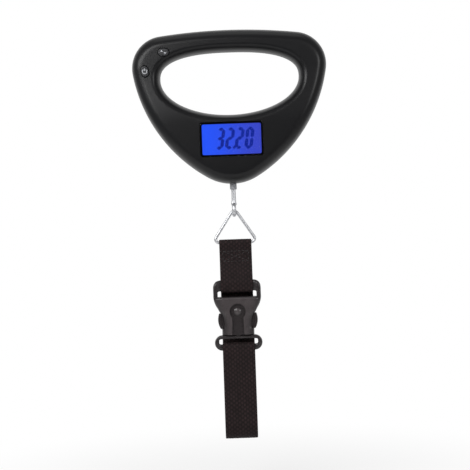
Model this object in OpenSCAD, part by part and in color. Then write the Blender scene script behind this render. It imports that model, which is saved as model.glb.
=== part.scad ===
// Digital luggage scale: a pick-shaped hand-grip housing with a lit display,
// a swivelling eye rod, a wire triangle and a buckled webbing loop.
// Millimetres. Origin at the middle of the grip bar, +Z up, the display faces -Y.

/* [Housing] */
// Width across the shoulders
body_w = 144; // [140:1:148]
// Height from the top of the grip bar to the foot
body_h = 114; // [112:1:117]
// Radius of the two shoulders, seen from the front
shoulder_r = 24; // [22:1:25]
// Radius of the long side curves
side_r = 111.5; // [108:0.5:116]
// Radius of the foot
foot_r = 36; // [33:1:38]
// Height of the grip bar, seen from the front
grip_h = 16.6; // [15:0.2:18]
// Depth of the front half at the grip
front_grip_d = 12.5; // [11:0.5:13]
// Depth of the front half at the display
front_low_d = 15; // [14.5:0.1:15.5]
// Depth of the flat back half
back_d = 13; // [12.6:0.1:13.4]
// Wall of both shells
wall = 2.4; // [2:0.1:2.6]
// Rounding of the outer rim, measured in the front view
rim_r = 8; // [7:0.5:9]
// Rounding round the hand opening
hole_rim_r = 6; // [5:0.5:6.5]

/* [Hand opening] */
// Width of the opening
hole_w = 102.6; // [98:0.2:104]
// Depth of the lower, elliptic half
hole_low_h = 27.2; // [25:0.2:28]
// Height of the upper half, under the grip bar
hole_up_h = 19; // [18:0.5:20]

/* [Display] */
// Width of the part of the display that shows
view_w = 43.4; // [40:0.2:44]
// Height of the part of the display that shows
view_h = 22.4; // [20:0.2:22.8]
// Height of the display's middle
view_z = -72.8; // [-74:0.2:-72]
// Thickness of the clear window
lens_t = 1.5; // [1:0.1:1.6]

/* [Buttons] */
// Length of a button
button_l = 8; // [7:0.2:8.2]
// Width of a button
button_w = 5.4; // [4.6:0.2:6]
// Travel of a button
button_travel = 0.5; // [0.3:0.1:0.6]

/* [Rod and triangle] */
// Radius of the pull rod
rod_r = 1.6; // [1.4:0.1:1.7]
// Height of the middle of the rod's eye
eye_z = -124.8; // [-127:0.2:-124]
// Radius of the eye, at the middle of its wire
eye_ring_r = 4; // [3.8:0.1:4.4]
// Radius of the eye's wire
eye_wire_r = 1.5; // [1.4:0.05:1.55]
// Radius of the triangle's wire
tri_wire_r = 1.1; // [1:0.05:1.15]
// Height of the triangle's bottom bar
tri_bar_z = -149.2; // [-150:0.2:-148]
// Width of the triangle, from corner to corner of its middle line
tri_w = 29; // [28:0.5:31]

/* [Strap] */
// Width of the webbing
strap_w = 24; // [22:0.5:25]
// Thickness of the webbing
strap_t = 1.3; // [1.1:0.1:1.4]
// Middle height of the loop's round bottom
loop_z = -284.2; // [-290:1:-280]
// Radius of the loop's round bottom, at the middle of the webbing
loop_r = 10.9; // [10:0.1:12]

/* [Buckle] */
// Width of both buckle halves over their webbing bars
buckle_w = 35.4; // [34:0.2:37]
// Depth of the buckle's middle plane
buckle_y = -3.5; // [-4:0.1:-3.4]
// Top of the socket
socket_top_z = -177; // [-177.4:0.2:-176.6]
// Foot of the plug
plug_foot_z = -229.4; // [-230:0.2:-229]

/* [Hidden] */
$fn = 48;

shell_black = "#242426";
board_green = "#2f5d3a";
steel = "#c9cbd0";
webbing_black = "#29272a";

// Outline of the housing: tangent arcs round a grip bar that is centred on the origin
top_z = grip_h / 2;
foot_z = top_z - body_h;
shoulder_c = [body_w / 2 - shoulder_r, top_z - 27];
top_lift = top_z - shoulder_c[1];
top_r = (shoulder_c[0] ^ 2 + top_lift ^ 2 - shoulder_r ^ 2) / (2 * (top_lift - shoulder_r));
top_c = [0, top_z - top_r];
foot_c = [0, foot_z + foot_r];
side_c = circles_meet(shoulder_c, side_r - shoulder_r, foot_c, side_r - foot_r);
top_end = heading(shoulder_c - top_c);
shoulder_end = heading(shoulder_c - side_c);
side_end = heading(foot_c - side_c);

hole_c = [0, -grip_h / 2 - hole_up_h];
hole_low_power = 2;
hole_up_power = 2.5;
rim_steps = 5;
parting_groove = 0.35;
face_crown = 0.6;

half_outline = concat(
    arc_samples(top_c, top_r, 90, top_end, 4),
    arc_samples(shoulder_c, shoulder_r, top_end, shoulder_end, 7),
    arc_samples(side_c, side_r, shoulder_end, side_end, 12),
    arc_samples(foot_c, foot_r, side_end, -90, 5),
    [[foot_c + [0, -foot_r], [0, -1]]]
);
last_sample = len(half_outline) - 1;
outline = concat(
    half_outline,
    [for (i = [last_sample - 1 : -1 : 1]) [mirrored(half_outline[i][0]), mirrored(half_outline[i][1])]]
);

// Stack behind the window, front to back
lens_front_y = -(front_low_d + 0.4);
lens_back_y = lens_front_y + lens_t;
lens_border = 1.5;
lens_w = view_w + 2 * lens_border;
lens_h = view_h + 2 * lens_border;
glass_y = [-13.1, -10.9];
backlight_y = [-10.9, -8.6];
board_y = [-8, -6.4];
board_w = 54;
board_z = [-88.5, -59.2];
board_posts = [for (x = [-25, 25], z = [-62, -86]) [x, z]];
post_r = 1.5;
stake_r = 0.8;
glass_size = [45.6, 24.6];
backlight_size = [45, 20];
strip_size = [40, 2];
strip_z = 11.2;

// Two buttons on the left shoulder, each lying along an arc round the shoulder's middle
shoulder_left = mirrored(shoulder_c);
power_place = shoulder_left + [-14, -2.5];
unit_place = shoulder_left + [0.2, 11.1];
power_turn = heading(power_place - shoulder_left) - 90;
unit_turn = heading(unit_place - shoulder_left) - 90;
button_gap = 0.3;
button_proud = 0.8;
button_skirt = 0.8;
skirt_y = [-9.1, -8.3];
switch_y = [-6.9, -5.4];
plunger_y = skirt_y[1] + button_travel + 0.3;
button_board_y = [-5.4, -4.2];
button_posts = [shoulder_left + 14.5 * polar(132), shoulder_left + 10.5 * polar(148)];

// Screws that hold the two shells together, in the front view
screw_places = [for (s = [-1, 1], p = [[36, -2.5], [58.5, -38], [38.5, -73]]) [s * p[0], p[1]]];
screw_r = 1.25;
screw_head_r = 2.6;
screw_head_y = 8.6;
screw_well_r = 2.9;
front_boss_r = 3.2;
rear_boss_r = 3.4;

// Force path: plate across the rear shell, S-shaped cell, rod
plate_z = [-64.7, -61.7];
plate_half_w = 32;
plate_y = [-4.5, 4.5];
ledge_x = [27.5, 34];
cell_half_w = 15;
cell_half_d = 4.5;
cell_z = [-90.7, -64.7];
cell_upper_slot = [-74.4, -70.4];
cell_lower_slot = [-85.2, -81];
gauge_x = [-8.5, 8.5];
gauge_z = [-79.9, -75.5];
rod_top_z = -81.3;
nut_z = [-84.9, -81.9];
rod_fit = 0.08;
nut_r = 3.4;
bolt_r = 2;
bolt_head_r = 3.5;
bolt_hex_r = 1.73;
bush_r = 2.5;
bush_flange_r = 3.6;

// Coin cell and its quarter-turn lid in the back
coin_c = [0, -76];
coin_r = 10;
coin_y = [6.4, 9.6];
cup_y = [4.8, 11.5];
cup_r = 16.5;
pocket_r = 10.6;
lid_r = 13.1;
lid_gap = 0.08;
lug_gap = 0.3;
lid_y = [10.6, back_d - 0.1];
lug_r = 14.5;
lug_y = [9.7, 10.6];
lug_arc = 30;
lid_unlock = 45;
coin_slot = [18, 2.2];
coin_slot_depth = 1.1;

// Triangle: two bottom corners and an apex that hooks through the eye
apex_bend_r = eye_wire_r + tri_wire_r + 0.1;
apex_c = [0, eye_z - eye_ring_r];
corner_bend_r = 2.6;
wire_lap = 0.3;
corner_c = [tri_w / 2 - corner_bend_r, tri_bar_z + corner_bend_r];
tri_lean = wire_lean(corner_c - apex_c, apex_bend_r - corner_bend_r);

// Buckle: socket above, plug below, in the plane y = buckle_y
bar_r = 1.6;
bar_wrap_r = bar_r + 0.1 + strap_t / 2;
ring_wrap_r = tri_wire_r + 0.12 + strap_t / 2;
socket_bar = [socket_top_z - bar_r - 5, socket_top_z - bar_r];
plug_bar = [plug_foot_z + bar_r, plug_foot_z + bar_r + 1.4];
slot_half_w = 14.4;
frame_half_t = 2.6;
socket_half_t = 5;
socket_waist_z = -189.4;
socket_mouth_z = -217.6;
window_z = [-213.4, -201.2];
cavity_half_t = 2.9;
cavity_top_z = -197.6;
boss_z = -200.2;
boss_r = 3.2;
dish_r = 6.2;
dish_depth = 1.2;
channel_depth = 1;
channel_half_w = [4.2, 4.8];
arm_half_t = 1.7;
pad_half_t = 2.5;
ridge_w = 1.9;
arm_root_r = 1.45;
plug_top_z = socket_mouth_z - 0.3;
arm_root = [8.05, plug_top_z + 0.05 + arm_root_r];
arm_tip_z = -199.2;
pad_out = 14.7;
pad_r = 12.8;
pad_c = [pad_out - pad_r, -206.3];

// Middle line of the webbing, in the side view (y, z)
seam_top_z = tri_bar_z - 5;
seam_end_z = tri_bar_z - 15;
ply_y = strap_t / 2 + 0.03;
cut_gap = 0.02;
loop_flat = 0.4;
upper_path = concat(
    [[-0.62, socket_top_z + 8.8], [buckle_y + bar_wrap_r, socket_bar[1]]],
    bend([buckle_y, socket_bar[0]], bar_wrap_r, 0, -180, 12),
    bend([buckle_y, socket_bar[1]], bar_wrap_r, 180, 160, 2),
    [[-ply_y, seam_end_z], [-ply_y, seam_top_z]],
    bend([0, tri_bar_z], ring_wrap_r, 180, 0, 10),
    [[ply_y, seam_top_z], [ply_y, seam_end_z]],
    bend([loop_flat, loop_z], loop_r, 0, -90, 10),
    [[cut_gap / 2, loop_z - loop_r]]
);
lower_path = concat(
    [[-cut_gap / 2, loop_z - loop_r]],
    bend([-loop_flat, loop_z], loop_r, -90, -180, 10),
    bend([buckle_y, plug_bar[0]], bar_wrap_r, 185, 180, 1),
    bend([buckle_y, plug_bar[1]], bar_wrap_r, 180, 0, 12),
    [
        [buckle_y + bar_wrap_r, plug_bar[0]],
        [buckle_y + bar_wrap_r - 0.3, plug_foot_z - 1.1],
        [-5.2, plug_foot_z - 9.1],
        [-6.45, plug_foot_z - 20.6]
    ]
);

// Plane geometry helpers
function heading(v) = atan2(v[1], v[0]);
function polar(a) = [cos(a), sin(a)];
function mirrored(p) = [-p[0], p[1]];
function circles_meet(c1, r1, c2, r2) =
    let (d = norm(c2 - c1), e = (c2 - c1) / d, a = (r1 ^ 2 - r2 ^ 2 + d ^ 2) / (2 * d))
    c1 + a * e + sqrt(r1 ^ 2 - a ^ 2) * [e[1], -e[0]];
function arc_samples(c, r, from, to, n) =
    [for (i = [0 : n - 1]) let (a = from + (to - from) * i / n) [c + r * polar(a), polar(a)]];
function bend(c, r, from, to, n) = [for (i = [0 : n]) c + r * polar(from + (to - from) * i / n)];
function smooth(t) = let (u = min(1, max(0, t))) u * u * (3 - 2 * u);
// Angle from straight down of a straight wire that touches two bends on the same side
function wire_lean(v, dr) = atan2(v[0], -v[1]) - asin(dr / norm(v));

// Hand opening: the point on its edge towards p, and the outward normal there
function hole_h(dz) = dz < 0 ? hole_low_h : hole_up_h;
function hole_power(dz) = dz < 0 ? hole_low_power : hole_up_power;
function hole_point(p) =
    let (d = p - hole_c, n = hole_power(d[1]))
    hole_c + d * (abs(2 * d[0] / hole_w) ^ n + abs(d[1] / hole_h(d[1])) ^ n) ^ (-1 / n);
function hole_normal(q) =
    let (
        d = q - hole_c,
        n = hole_power(d[1]),
        g = [
            sign(d[0]) * abs(2 * d[0] / hole_w) ^ (n - 1) * 2 / hole_w,
            sign(d[1]) * abs(d[1] / hole_h(d[1])) ^ (n - 1) / hole_h(d[1])
        ]
    ) g / norm(g);

// Depth of the front face under a point of the front view
function front_depth(p) =
    front_grip_d + (front_low_d - front_grip_d) * smooth((-20 - p[1]) / 40)
    + face_crown * (1 - (2 * p[0] / body_w) ^ 2);
function half_depth(p, front) = front ? front_depth(p) : back_d;

// One ring of points of a shell: from the rim (edge 0) or the hand opening (edge 1), inset by d
function edge_point(i, edge, d) =
    let (s = outline[i], q = hole_point(s[0]))
    edge == 0 ? s[0] - d * s[1] : q + d * hole_normal(q);
function face_point(i) = (edge_point(i, 0, rim_r) + edge_point(i, 1, hole_rim_r)) / 2;
function stand(p, y) = [p[0], y, p[1]];
function rim_ring(i, edge, r, t, a, front) =
    let (p = edge_point(i, edge, t + (r - t) * (1 - cos(a))))
    stand(p, (front ? -1 : 1) * (half_depth(p, front) - t) * sin(a));
function face_ring(i, t, front) =
    let (p = face_point(i)) stand(p, (front ? -1 : 1) * (half_depth(p, front) - t));
// Section of a shell at sample i: outer skin from rim to opening, then back along the inside
function shell_section(i, front) =
    let (side = front ? -1 : 1, step = 90 / rim_steps)
    concat(
        [stand(edge_point(i, 0, parting_groove), 0), stand(edge_point(i, 0, 0), side * parting_groove)],
        [for (k = [1 : rim_steps]) rim_ring(i, 0, rim_r, 0, k * step, front)],
        [face_ring(i, 0, front)],
        [for (k = [rim_steps : -1 : 1]) rim_ring(i, 1, hole_rim_r, 0, k * step, front)],
        [stand(edge_point(i, 1, 0), side * parting_groove), stand(edge_point(i, 1, parting_groove), 0)],
        [for (k = [0 : rim_steps]) rim_ring(i, 1, hole_rim_r, wall, k * step, front)],
        [face_ring(i, wall, front)],
        [for (k = [rim_steps : -1 : 0]) rim_ring(i, 0, rim_r, wall, k * step, front)]
    );

// Placing helpers: plates in the front view, and round things along Y
module plate(y) {
    translate([0, y[1], 0]) rotate([90, 0, 0]) linear_extrude(y[1] - y[0]) children();
}
module round_y(p, r, y) {
    translate([p[0], y[0], p[1]]) rotate([-90, 0, 0]) cylinder(r = r, h = y[1] - y[0]);
}
module block(x, y, z) {
    translate([x[0], y[0], z[0]]) cube([x[1] - x[0], y[1] - y[0], z[1] - z[0]]);
}
module pill(l, w) {
    square([l - w, w], center = true);
    for (s = [-1, 1]) translate([s * (l - w) / 2, 0]) circle(d = w);
}
module rounded(w, h, r) {
    square([w - 2 * r, h], center = true);
    square([w, h - 2 * r], center = true);
    for (x = [-1, 1], y = [-1, 1]) translate([x * (w / 2 - r), y * (h / 2 - r)]) circle(r);
}
// Round wire through a list of points
module wire(points, r) {
    for (i = [0 : len(points) - 2]) {
        run = points[i + 1] - points[i];
        translate(points[i])
            rotate([0, acos(run[2] / norm(run)), atan2(run[1], run[0])])
                cylinder(r = r, h = norm(run));
    }
    for (i = [1 : 1 : len(points) - 2]) translate(points[i]) sphere(r * 1.06, $fn = 24);
}
// Flat band of thickness t along a middle line in the side view, across the strap's width
module ribbon(path, t) {
    n = len(path) - 1;
    tangent = [for (i = [0 : n])
        let (
            a = i > 0 ? path[i] - path[i - 1] : path[1] - path[0],
            b = i < n ? path[i + 1] - path[i] : path[n] - path[n - 1],
            m = a / norm(a) + b / norm(b)
        ) m / norm(m)];
    side = [for (d = tangent) [-d[1], d[0]] * t / 2];
    translate([-strap_w / 2, 0, 0]) rotate([90, 0, 90]) linear_extrude(strap_w)
        polygon(concat([for (i = [0 : n]) path[i] + side[i]], [for (i = [n : -1 : 0]) path[i] - side[i]]));
}

// Both shells: a closed loft of the section round the outline
module shell_half(front) {
    sections = [for (i = [0 : len(outline) - 1]) shell_section(i, front)];
    around = len(sections);
    across = len(sections[0]);
    points = [for (s = sections, p = s) p];
    quads = [for (i = [0 : around - 1], j = [0 : across - 1])
        let (i2 = (i + 1) % around, j2 = (j + 1) % across)
        [i * across + j, i * across + j2, i2 * across + j2, i2 * across + j]];
    triangles = [for (q = quads, t = [[q[0], q[1], q[2]], [q[0], q[2], q[3]]])
        front ? [t[2], t[1], t[0]] : t];
    polyhedron(points, triangles);
}
module rod_hole() {
    translate([0, 0, foot_z - 2]) cylinder(r = bush_r + 0.05, h = 6);
}

module front_shell() {
    color(shell_black) difference() {
        union() {
            shell_half(true);
            for (p = screw_places) round_y(p, front_boss_r, [-front_depth(p) + 1.2, 0]);
            for (p = board_posts) {
                round_y(p, post_r, [-front_low_d + 1, board_y[0]]);
                round_y(p, stake_r, [board_y[0] - 1, board_y[1] + 0.5]);
            }
            for (p = button_posts) {
                round_y(p, post_r, [-front_grip_d + 1, button_board_y[0]]);
                round_y(p, stake_r, [button_board_y[0] - 1, button_board_y[1] + 0.5]);
            }
        }
        translate([0, 0, view_z]) {
            plate([-front_low_d - 2, lens_back_y]) rounded(lens_w + 0.2, lens_h + 0.2, 2);
            plate([-front_low_d - 2, -10]) rounded(view_w, view_h, 1.2);
        }
        for (b = [[power_place, power_turn], [unit_place, unit_turn]])
            translate([b[0][0], 0, b[0][1]]) rotate([0, -b[1], 0])
                plate([-front_low_d - 2, -8]) pill(button_l + 2 * button_gap, button_w + 2 * button_gap);
        for (p = screw_places) round_y(p, screw_r + 0.05, [-9, 1]);
        rod_hole();
    }
}

module rear_shell() {
    color(shell_black) difference() {
        union() {
            shell_half(false);
            for (p = screw_places) round_y(p, rear_boss_r, [0, back_d - 1.2]);
            round_y(coin_c, cup_r, cup_y);
            for (s = [-1, 1], z = [[-70, plate_z[0]], [plate_z[1], -58.5]])
                block(s > 0 ? ledge_x : [-ledge_x[1], -ledge_x[0]], [plate_y[0], back_d - 1.2], z);
        }
        for (p = screw_places) {
            round_y(p, 1.5, [-1, back_d + 1]);
            round_y(p, screw_well_r, [screw_head_y, back_d + 1]);
        }
        round_y(coin_c, pocket_r, [coin_y[0] - 0.4, back_d]);
        round_y(coin_c, lid_r + lid_gap, [lug_y[1], back_d + 1]);
        round_y(coin_c, lug_r + lug_gap, [lug_y[0] - lug_gap, lug_y[1] + lug_gap]);
        lid_lugs(lug_r + lug_gap, [lug_y[0] - lug_gap, back_d + 1], lug_arc + 4, lid_unlock);
        rod_hole();
    }
}

module display_lens() {
    color("#20242c", 0.5) translate([0, 0, view_z])
        plate([lens_front_y, lens_back_y]) rounded(lens_w, lens_h, 1.9);
}

module lcd_panel() {
    color("#2f55ff") translate([0, 0, view_z]) plate(glass_y) square(glass_size, center = true);
}

module backlight() {
    color("#9fb6ff") translate([0, 0, view_z]) plate(backlight_y) square(backlight_size, center = true);
}

module zebra_strips() {
    color("#5a5a5e") for (s = [-1, 1])
        translate([0, 0, view_z + s * strip_z])
            plate([glass_y[1], board_y[0]]) square(strip_size, center = true);
}

module circuit_board() {
    color(board_green) difference() {
        block([-board_w / 2, board_w / 2], board_y, board_z);
        for (p = board_posts) round_y(p, stake_r + 0.05, [board_y[0] - 1, board_y[1] + 1]);
    }
}

module controller_chip() {
    color("#18181a") round_y([-21, -70], 4.5, [board_y[1], board_y[1] + 1.2]);
}

// A push button: pill-shaped cap, skirt under the wall and a stem to its switch
module button(place, turn) {
    face_y = -front_depth(place) - button_proud;
    color("#3a3a3d") translate([place[0], 0, place[1]]) rotate([0, -turn, 0]) {
        plate([face_y, skirt_y[1]]) pill(button_l, button_w);
        plate(skirt_y) pill(button_l + 2 * button_skirt, button_w + 2 * button_skirt);
    }
}
module power_button() {
    button(power_place, power_turn);
}
module unit_button() {
    button(unit_place, unit_turn);
}

module button_board() {
    color(board_green) difference() {
        round_y(shoulder_left, 17, button_board_y);
        round_y(shoulder_left, 8.2, [button_board_y[0] - 1, button_board_y[1] + 1]);
        translate([shoulder_left[0], 0, shoulder_left[1]])
            plate([button_board_y[0] - 1, button_board_y[1] + 1])
                polygon([[0, 0], 40 * polar(60), [40, -40], 40 * polar(-130), 40 * polar(-152)]);
        for (p = button_posts) round_y(p, stake_r + 0.05, [button_board_y[0] - 1, button_board_y[1] + 1]);
    }
}

module tact_switches() {
    color("#4a4a4e") for (p = [power_place, unit_place]) translate([p[0], 0, p[1]]) {
        plate(switch_y) square(6, center = true);
        round_y([0, 0], 1.7, [plunger_y, switch_y[1]]);
    }
}

module load_cell() {
    mid_z = (cell_upper_slot[0] + cell_lower_slot[1]) / 2;
    color("#b9bcc2") difference() {
        block([-cell_half_w, cell_half_w], [-cell_half_d, cell_half_d], cell_z);
        block([-cell_half_w - 1, 9], [-9, 9], cell_upper_slot);
        block([-9, cell_half_w + 1], [-9, 9], cell_lower_slot);
        for (x = [-4.5, 4.5]) round_y([x, mid_z], 2.3, [-9, 9]);
        block([-4.5, 4.5], [-9, 9], [mid_z - 0.8, mid_z + 0.8]);
        translate([0, 0, cell_z[0] - 1]) cylinder(r = rod_r + rod_fit, h = 8);
        translate([0, 0, cell_z[1] - 5.2]) cylinder(r = bolt_r + 0.05, h = 6);
    }
}

module strain_gauges() {
    color("#c58b3c") for (x = gauge_x, z = gauge_z)
        block([x - 2.2, x + 2.2], [-cell_half_d - 0.15, -cell_half_d], [z - 0.8, z + 0.8]);
}

module anchor_plate() {
    color(steel) difference() {
        block([-plate_half_w, plate_half_w], plate_y, plate_z);
        translate([0, 0, plate_z[0] - 1]) cylinder(r = bolt_r + 0.15, h = 5);
    }
}

module anchor_bolt() {
    color(steel) difference() {
        union() {
            translate([0, 0, plate_z[1]]) cylinder(r = bolt_head_r, h = 3.6);
            translate([0, 0, plate_z[0] - 4.8]) cylinder(r = bolt_r, h = 8);
        }
        translate([0, 0, plate_z[1] + 1.6]) cylinder(r = bolt_hex_r, h = 3, $fn = 6);
    }
}

module rod_bush() {
    color("#39393c") difference() {
        union() {
            translate([0, 0, foot_z - 4.2]) cylinder(r = bush_r, h = 8);
            translate([0, 0, foot_z + 3.1]) cylinder(r = bush_flange_r, h = 1.5);
        }
        translate([0, 0, foot_z - 5]) cylinder(r = rod_r + rod_fit, h = 12);
    }
}

module coin_cell() {
    color(steel) {
        round_y(coin_c, coin_r, [coin_y[0] + 0.4, coin_y[1]]);
        round_y(coin_c, coin_r - 1.2, [coin_y[0], coin_y[0] + 0.5]);
    }
}

module positive_contact() {
    color("#d2b45a") difference() {
        round_y(coin_c, pocket_r - 0.05, [7, 9.4]);
        round_y(coin_c, coin_r + 0.1, [6, 10]);
        translate([coin_c[0], 0, coin_c[1]]) plate([6, 10])
            polygon([[0, 0], 30 * polar(-30), [0, -30], [-30, 0], [0, 30], 30 * polar(30)]);
    }
}

module negative_contact() {
    color("#d2b45a") block([-4, 4], [coin_y[0] - 0.38, coin_y[0] - 0.02], [coin_c[1] - 3, coin_c[1] + 3]);
}

// Two opposite bayonet lugs, turned by a, each over an arc
module lid_lugs(r, y, arc, a) {
    intersection() {
        difference() {
            round_y(coin_c, r, y);
            round_y(coin_c, lid_r - 3, [y[0] - 1, y[1] + 1]);
        }
        translate([coin_c[0], 0, coin_c[1]]) plate([y[0] - 1, y[1] + 1]) rotate(-a)
            for (s = [0, 180]) rotate(s) polygon([[0, 0], 40 * polar(-arc / 2), 40 * polar(arc / 2)]);
    }
}
module battery_lid() {
    color(shell_black) difference() {
        union() {
            round_y(coin_c, lid_r, lid_y);
            round_y(coin_c, pocket_r - 0.5, [coin_y[1] + 0.35, lid_y[0] + 0.5]);
            lid_lugs(lug_r, [lug_y[0], lug_y[1]], lug_arc, 0);
            lid_lugs(lid_r - 0.2, [lug_y[0], lid_y[0] + 0.5], lug_arc, 0);
        }
        // coin slot
        translate([coin_c[0], 0, coin_c[1]]) plate([lid_y[1] - coin_slot_depth, lid_y[1] + 1])
            pill(coin_slot[0], coin_slot[1]);
    }
}

module housing_screws() {
    color("#6e7076") for (p = screw_places) difference() {
        union() {
            round_y(p, screw_head_r, [screw_head_y, screw_head_y + 1.8]);
            round_y(p, screw_r, [-8, screw_head_y + 0.5]);
        }
        for (a = [0, 90]) translate([p[0], 0, p[1]]) rotate([0, a, 0])
            plate([screw_head_y + 0.7, screw_head_y + 3]) square([3, 0.7], center = true);
    }
}

module gauge_leads() {
    color("#b03a3a") for (x = gauge_x, z = gauge_z)
        wire([[x, -cell_half_d - 0.2, z], [x, board_y[1] + 0.05, z]], 0.35);
}

module button_leads() {
    color("#3e6fb0") for (k = [0, 1.8])
        wire([
            [-59 + k, button_board_y[1] + 0.5, -23.5], [-54.2 + k, -2.2, -36], [-50 + k, -2.2, -48],
            [-40 + k, -5.4, -60], [-26.5 + k, -5.4, -64.2]
        ], 0.45);
}

module battery_leads() {
    x = cup_r + 0.8;
    z = coin_c[1];
    color("#8a2f2f") for (s = [-1, 1])
        wire([[s * x, coin_y[0], z], [s * x, board_y[1] + 0.05, z]], 0.45);
}

module pull_rod() {
    color(steel) {
        translate([0, 0, eye_z + eye_ring_r]) cylinder(r = rod_r, h = rod_top_z - eye_z - eye_ring_r);
        translate([0, 0, eye_z]) rotate([0, 90, 0])
            rotate_extrude() translate([eye_ring_r, 0]) circle(eye_wire_r);
    }
}

module rod_nut() {
    color(steel) difference() {
        translate([0, 0, nut_z[0]]) cylinder(r = nut_r, h = nut_z[1] - nut_z[0], $fn = 6);
        translate([0, 0, nut_z[0] - 1]) cylinder(r = rod_r + 0.02, h = 6);
    }
}

// A bend of the triangle's wire in the front view, a hair thicker than the straight runs that enter it
module wire_bend(c, r, from, to) {
    translate([c[0], 0, c[1]]) rotate([90, 0, 0]) rotate([0, 0, from])
        rotate_extrude(angle = to - from) translate([r, 0]) circle(tri_wire_r + 0.03);
}
module triangle_ring() {
    down = [sin(tri_lean), -cos(tri_lean)];
    start = apex_c + apex_bend_r * polar(tri_lean) - wire_lap * down;
    end = corner_c + corner_bend_r * polar(tri_lean) + wire_lap * down;
    run = end - start;
    color(steel) {
        wire_bend(apex_c, apex_bend_r, tri_lean, 180 - tri_lean);
        wire_bend(corner_c, corner_bend_r, -90, tri_lean);
        wire_bend(mirrored(corner_c), corner_bend_r, 180 - tri_lean, 270);
        for (s = [-1, 1])
            translate([s * start[0], 0, start[1]]) rotate([0, s * atan2(run[0], run[1]), 0])
                cylinder(r = tri_wire_r, h = norm(run));
        translate([-corner_c[0] - wire_lap, 0, tri_bar_z]) rotate([0, 90, 0])
            cylinder(r = tri_wire_r, h = 2 * (corner_c[0] + wire_lap));
    }
}

module strap_upper() {
    color(webbing_black) ribbon(upper_path, strap_t);
}

module strap_lower() {
    color(webbing_black) ribbon(lower_path, strap_t);
}

// Outlines of the buckle in the front view, from half-widths at given heights
module both_sides(half) {
    polygon(concat(half, [for (i = [len(half) - 1 : -1 : 0]) mirrored(half[i])]));
}
module socket_frame_outline() {
    corner = 5;
    half = buckle_w / 2;
    difference() {
        union() {
            both_sides([
                [half - corner, socket_top_z], [half, socket_top_z - corner], [half, socket_waist_z - 1.5],
                [14.2, -200.5], [13, -201]
            ]);
            for (s = [-1, 1]) translate([s * (half - corner), socket_top_z - corner]) circle(corner);
        }
        translate([-slot_half_w, socket_waist_z]) square([2 * slot_half_w, 30]);
    }
}
module socket_plate_outline() {
    both_sides([
        [16.2, socket_waist_z], [17, socket_waist_z - 2.6], [13.9, -200], [11.2, -203], [10.6, -211.5],
        [11.9, window_z[0] - 0.6], [11.6, socket_mouth_z]
    ]);
}
// A flat bar with round edges, across the webbing slot
module webbing_bar(z) {
    translate([-slot_half_w - 1, 0, 0]) rotate([90, 0, 90]) linear_extrude(2 * slot_half_w + 2) {
        translate([-bar_r, z[0]]) square([2 * bar_r, z[1] - z[0]]);
        for (h = z) translate([0, h]) circle(bar_r);
    }
}
module buckle_socket() {
    color("#2b2a2c") translate([0, buckle_y, 0]) difference() {
        union() {
            plate([-frame_half_t, frame_half_t]) socket_frame_outline();
            webbing_bar(socket_bar);
            plate([-socket_half_t, socket_half_t]) socket_plate_outline();
        }
        // cavity for the plug's arms, open at the mouth and at both sides
        plate([-cavity_half_t, cavity_half_t]) both_sides([
            [11.9, cavity_top_z], [12.2, window_z[1]], [30, window_z[1]], [30, window_z[0]],
            [10.1, window_z[0]], [10.1, socket_mouth_z - 1]
        ]);
        // round dish with a plain domed boss, and a channel from it to the mouth, between two ribs
        difference() {
            union() {
                round_y([0, boss_z], dish_r, [-socket_half_t - 1, -socket_half_t + dish_depth]);
                plate([-socket_half_t - 1, -socket_half_t + channel_depth])
                    both_sides([[channel_half_w[0], boss_z], [channel_half_w[1], socket_mouth_z - 1]]);
            }
            dome_r = (boss_r ^ 2 + dish_depth ^ 2) / (2 * dish_depth);
            translate([0, -socket_half_t + dome_r, boss_z]) sphere(dome_r);
        }
    }
}

module plug_loop_outline() {
    corner = (plug_top_z - plug_foot_z) / 2;
    mid_z = plug_foot_z + corner;
    difference() {
        union() {
            translate([0, mid_z]) square([buckle_w - 2 * corner, 2 * corner], center = true);
            for (s = [-1, 1]) translate([s * (buckle_w / 2 - corner), mid_z]) circle(corner);
        }
        translate([-slot_half_w, plug_foot_z - 1]) square([2 * slot_half_w, 9.6]);
    }
}
module buckle_plug() {
    color("#2b2a2c") translate([0, buckle_y, 0]) {
        plate([-frame_half_t, frame_half_t]) plug_loop_outline();
        webbing_bar(plug_bar);
        // guide tongue between the arms
        plate([-pad_half_t, pad_half_t]) both_sides([[2.6, plug_top_z - 1], [2.6, -209], [1.6, -208]]);
    }
}

// One springing arm of the plug: a thin beam with a hook, and the pad that shows in the socket's side
// window, which has a thicker ridge along its outer edge
module arm_outline() {
    low = [arm_root[0] - arm_root_r, arm_root[0] + arm_root_r];
    intersection() {
        polygon([
            [low[0], arm_root[1]], [low[1], arm_root[1]], [9.7, window_z[0] + 0.3],
            [pad_out, window_z[0] + 0.4], [pad_out, window_z[1] - 0.6], [11.5, window_z[1] - 0.3],
            [9.6, arm_tip_z], [7.4, arm_tip_z], [low[0], -203]
        ]);
        translate(pad_c) circle(pad_r);
    }
}
module latch_arm() {
    translate([0, buckle_y, 0]) {
        plate([-arm_half_t, arm_half_t]) arm_outline();
        plate([-pad_half_t, pad_half_t]) intersection() {
            difference() {
                arm_outline();
                translate(pad_c) circle(pad_r - ridge_w);
            }
            translate([11, window_z[0]]) square([10, window_z[1] - window_z[0]]);
        }
        round_y(arm_root, arm_root_r, [-arm_half_t, arm_half_t]);
    }
}
module latch_arm_left() {
    color("#2b2a2c") mirror([1, 0, 0]) latch_arm();
}
module latch_arm_right() {
    color("#2b2a2c") latch_arm();
}

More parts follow.
